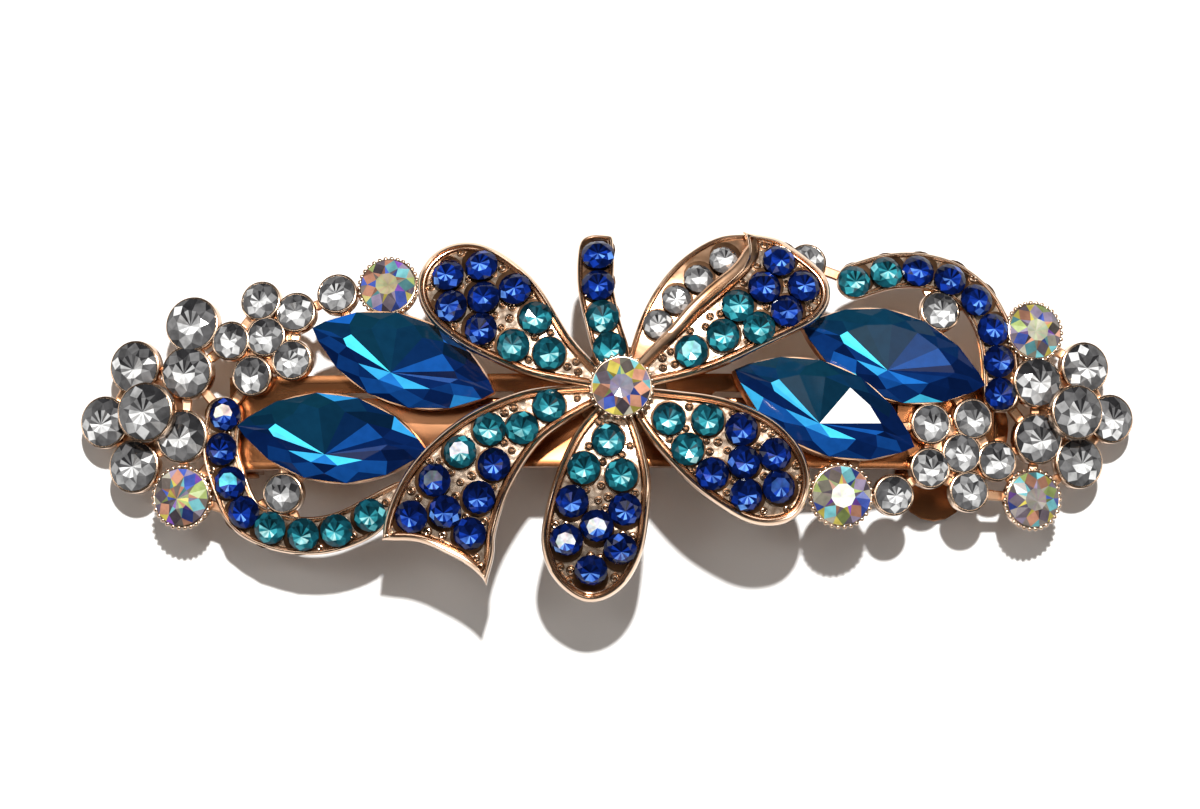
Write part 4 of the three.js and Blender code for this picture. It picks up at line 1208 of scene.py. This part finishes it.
for node in FIELDS:
    found = fields[node]
    floor = PETAL_FLOOR
    name = node.replace("pave_", "bow_")
    if node in STRIPS:
        outline = strip_outline(node)
        surface = bed_surface(film_underside(node)[1], 2)
        rim = STRIP_RIM
    elif "petal" in node:
        film, film_points = film_underside(node)
        outline = petal_outline(film)
        surface = bed_surface(film_points, 4)
        rim = RIM_HEIGHT
    else:
        outline = band_outline(node, found)
        surface = ornament_z
        floor = BAND_FLOOR
        rim = BAND_RIM
        name = node.replace("pave_", "")
    tray = Shape()
    studs = Shape()
    shade_discs = Shape()
    ring = add_tray(tray, outline, surface, floor, rim, 1.0 if rim == RIM_HEIGHT else LOW_RIM_NARROW)
    if node not in STRIPS:
        add_studs(studs, shade_discs, ring, found, surface, floor)
    for stone in found:
        spot = stone["table"].xy
        foot = on(surface, spot) + normal_of(surface, *spot) * (floor + 0.02)
        # Painted shade in the gap round each stone.
        add_recess(shade_discs, foot, stone["axis"], stone["radius"] * STONE_FULLNESS + STONE_SHADE_MARGIN)
    piece = make_piece(name, tray, GOLD, "rose_gold", smooth=50)
    piece.data.materials.append(GOLD_CAST if node in STRIPS else GOLD_GRAIN)
    rim_faces = len(outline) * (len(RIM_SECTION) - 1)
    for polygon in piece.data.polygons[rim_faces:]:
        if polygon.normal.z > 0:
            polygon.material_index = 1
    if studs.points:
        make_piece(f"{name}_studs", studs, GOLD, "rose_gold", smooth=35)
    make_piece(f"{name}_recesses", shade_discs, GOLD_PAINTED_SHADE, "rose_gold", smooth=35)

# ---- the ribbon's fold
# Where the ribbon folds over beside its clear strip, from the hub's centre outwards
FOLD_LINE = [
    (0.8, 1.0), (2.6, 2.9), (4.5, 4.75), (6.1, 6.6), (7.9, 8.3), (9.9, 9.95), (11.0, 11.5), (11.5, 13.1),
]
FOLD_STEP = 0.35
FOLD_WIDTHS = (0.42, 0.78)  # half width at the hub and near the tip
FOLD_FOOT = 0.2
FOLD_TOP = 2.55
FOLD_TIP = 0.1  # the last share of its length, over which it closes to a point
FOLD_POINT = 0.25  # how wide that point is, over the fold's width
FOLD_SECTION = [
    (-1.0, 0.0), (-1.0, 0.8), (-0.85, 0.93), (-0.5, 1.0), (0.1, 0.98), (0.6, 0.94), (0.9, 0.85), (1.0, 0.7),
    (1.0, 0.0),
]


def cut_across(spot, across, base, height, section):
    """A bar's ring at a plan point: its section, stretched across and upwards from its base."""
    return [Vector((*(spot + across * u), base + height * v)) for u, v in section]


def add_fold(shape, surface):
    line = smooth_curve([Vector(p) + HUB["foot"].xy for p in FOLD_LINE], False, FOLD_STEP)
    rings = []
    for k, p in enumerate(line):
        share = k / (len(line) - 1)
        width = FOLD_WIDTHS[0] + (FOLD_WIDTHS[1] - FOLD_WIDTHS[0]) * share
        width *= min(1.0, FOLD_POINT + (1 - FOLD_POINT) * (1 - share) / FOLD_TIP)
        base = surface(p.x, p.y) + FOLD_FOOT
        rings.append(cut_across(p, -across_line(line, k) * width, base, FOLD_TOP - FOLD_FOOT, FOLD_SECTION))
    shape.add(*stacked(rings))


fold = Shape()
add_fold(fold, bed_surface(film_underside("pave_petal_strip")[1], 2))
make_piece("bow_fold", fold, GOLD_CAST, "rose_gold", smooth=50)

# ---- hub post and bridges
BOW_LIFT = 2.35
HUB_BASE = 3.9
POST_TOP = BOW_LIFT + PETAL_FLOOR - BED_GAP
POST_END = BOW_LIFT + 2.1
POST_PROFILE = [
    (0, SEAT_GAP), (HUB_BASE - 0.2, SEAT_GAP), (HUB_BASE, SEAT_GAP + 0.2), (HUB_BASE - 0.9, 0.9),
    (HUB_BASE - 1.0, POST_TOP - 0.6), (HUB_BASE - 0.8, POST_TOP - 0.1), (HUB["radius"], POST_TOP),
    (HUB["radius"], POST_END), (0, POST_END),
]
post = Shape()
post.add(*turned(POST_PROFILE, 48), place=Matrix.Translation((HUB["foot"].x, HUB["foot"].y, BAR_TOP)))
# The post sits in shade under the hub and the petals, so it is drawn near black as painted shade.
make_piece("hub_post", post, GOLD_PAINTED_SHADE, "rose_gold", smooth=35)

BRIDGE_WIDTH = 1.15
BRIDGE_THICKNESS = 0.45
BRIDGE_STEP = 0.8
BRIDGE_WAIST = 0.25  # how much narrower it is halfway
BRIDGE_REACH = 1.9  # the widest gap between two settings that a bridge crosses
BRIDGE_SECTION = [(-1, 0.0), (-1, 0.7), (-0.7, 1.0), (0.7, 1.0), (1, 0.7), (1, 0.0)]
SHORTEST_BRIDGE = 0.2


def add_bridge(shape, start, end):
    """A flat cast bar between two plan points, on the ornament's surface."""
    along = end - start
    if along.length < SHORTEST_BRIDGE:
        return
    across = Vector((-along.y, along.x)).normalized() * BRIDGE_WIDTH / 2
    steps = max(2, round(along.length / BRIDGE_STEP))
    rings = []
    for k in range(steps + 1):
        spot = start + along * (k / steps)
        waist = 1 - BRIDGE_WAIST * math.sin(math.pi * k / steps)
        base = ornament_z(spot.x, spot.y) + SEAT_GAP
        rings.append(cut_across(spot, across * waist, base, BRIDGE_THICKNESS, BRIDGE_SECTION))
    shape.add(*stacked(rings))


def setting_spots(side_name, side):
    """Where a spray's settings are, each with its radius. An oval has three, smaller towards its tips."""
    spots = []
    for node, stone in stones.items():
        if not in_spray(stone, side):
            continue
        if node.startswith("navette"):
            for share in (-0.55, 0, 0.55):
                spot = stone["foot"].xy + stone["along"].xy * share * stone["length"]
                spots.append((spot, 3.0 - 3.2 * share**2))
        else:
            spots.append((stone["foot"].xy, stone["radius"]))
    return spots + [(stone["table"].xy, stone["radius"]) for stone in fields[f"pave_{side_name}_band"]]


WEBS = {"clear_{}_centre": 3.3, "flower_{}_centre": 2.7}  # the disc under each flower, and its radius
WEB_SIDES = 36
for side_name, side in SPRAYS.items():
    spots = setting_spots(side_name, side)
    bridges = Shape()
    for i, (a, radius_a) in enumerate(spots):
        for b, radius_b in spots[i + 1:]:
            if (a - b).length < radius_a + radius_b + BRIDGE_REACH:
                add_bridge(bridges, a, b)
    for pattern, radius in WEBS.items():
        spot = stones[pattern.format(side_name)]["foot"].xy
        disc = [(0, SEAT_GAP), (radius - 0.1, SEAT_GAP), (radius, 0.2), (radius - 0.12, 0.45), (0, 0.45)]
        place = frame_at(on(ornament_z, spot), normal_of(ornament_z, *spot))
        bridges.add(*turned(disc, WEB_SIDES), place=place)
    make_piece(f"{side_name}_bridges", bridges, GOLD_CAST, "rose_gold", smooth=40)

# ---- barrette
BARRETTE_BEVEL = 0.09


def refined(node, material, slot, body):
    """A copy of a barrette piece with its sharp edges rounded and its bends smooth."""
    work = node_mesh(node, 0.2)
    bmesh.ops.recalc_face_normals(work, faces=work.faces)
    work.verts.index_update()
    shape = Shape()
    shape.add([v.co.copy() for v in work.verts], [tuple(v.index for v in f.verts) for f in work.faces])
    work.free()
    piece = make_piece(f"{node}_finished", shape, material, slot, body, smooth=28, bevel=BARRETTE_BEVEL)
    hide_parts(node)


record_bodies = frame["record"]["behaviour"]["bodies"]
body_of = {node: body for body, members in record_bodies.items() for node in members}
for node in BARRETTE:
    if node in ("hinge_pin", "tension_spring", "catch_rivet"):
        refined(node, SPRING, "spring_steel", body_of[node])
    else:
        refined(node, COPPER, "copper_steel", body_of[node])

# ---- floor, light, camera
FLOOR_HALF = 1.5
FLOOR_GAP = 0.0002  # below the clip's feet
floor_mesh = bpy.data.meshes.new("floor")
floor_corners = [(x * FLOOR_HALF, y * FLOOR_HALF, 0) for x, y in ((-1, -1), (1, -1), (1, 1), (-1, 1))]
floor_mesh.from_pydata(floor_corners, [], [(0, 1, 2, 3)])
floor_piece = bpy.data.objects.new("floor", floor_mesh)
bpy.context.scene.collection.objects.link(floor_piece)
floor_piece.location.z = -FLOOR_GAP
floor_material, _, _, floor_shader = new_material("pale_floor")
floor_shader.inputs["Base Color"].default_value = (0.86, 0.86, 0.86, 1)
floor_shader.inputs["Roughness"].default_value = 0.9
floor_mesh.materials.append(floor_material)

world = bpy.data.worlds.new("studio")
world.use_nodes = True
background = world.node_tree.nodes["Background"]
background.inputs["Color"].default_value = (1.0, 0.92, 0.86, 1)
background.inputs["Strength"].default_value = 0.048
bpy.context.scene.world = world

MIDDLE = Vector((0, 0, 0.008))
# Small soft boxes that the metal mirrors as bright lines: place, and size along X and Y
SOFT_BOXES = [
    ((-0.30, 0.12, 0.62), 0.10, 0.22), ((0.34, 0.05, 0.60), 0.08, 0.24), ((0.02, -0.36, 0.62), 0.26, 0.07),
    ((-0.05, 0.10, 0.80), 0.22, 0.05), ((-0.62, 0.0, 0.30), 0.10, 0.30), ((0.62, -0.05, 0.30), 0.10, 0.30),
]
BOX_POWER = 14.0  # for each square metre


def area_light(name, spot, power, colour, size, size_y=None):
    light = bpy.data.lights.new(name, "AREA")
    light.energy = power
    light.color = colour
    light.shape = "RECTANGLE" if size_y else "DISK"
    light.size = size
    if size_y:
        light.size_y = size_y
    holder = bpy.data.objects.new(name, light)
    bpy.context.scene.collection.objects.link(holder)
    holder.location = spot
    holder.rotation_euler = (MIDDLE - Vector(spot)).to_track_quat("-Z", "Y").to_euler()


area_light("key", spot=(0.03, 0.25, 0.70), power=8.5, colour=(1.0, 0.985, 0.96), size=0.03)
for number, (spot, wide, deep) in enumerate(SOFT_BOXES):
    area_light(f"soft_box_{number}", spot, BOX_POWER * wide * deep, (1.0, 0.96, 0.91), wide, deep)

CAMERA_DISTANCE = 0.35
CAMERA_ELEVATION = math.radians(85)
CAMERA_AIM = Vector((-0.0006, 0.0011, BAR_TOP * MM))
camera_data = bpy.data.cameras.new("camera")
camera_data.sensor_width = 36
camera_data.lens = 123
camera_data.clip_start = 0.01
camera = bpy.data.objects.new("camera", camera_data)
bpy.context.scene.collection.objects.link(camera)
back = Vector((0, -math.cos(CAMERA_ELEVATION), math.sin(CAMERA_ELEVATION)))
camera.location = CAMERA_AIM + CAMERA_DISTANCE * back
camera.rotation_euler = (-back).to_track_quat("-Z", "Y").to_euler()
bpy.context.scene.camera = camera
bpy.context.scene.view_settings.view_transform = "Standard"
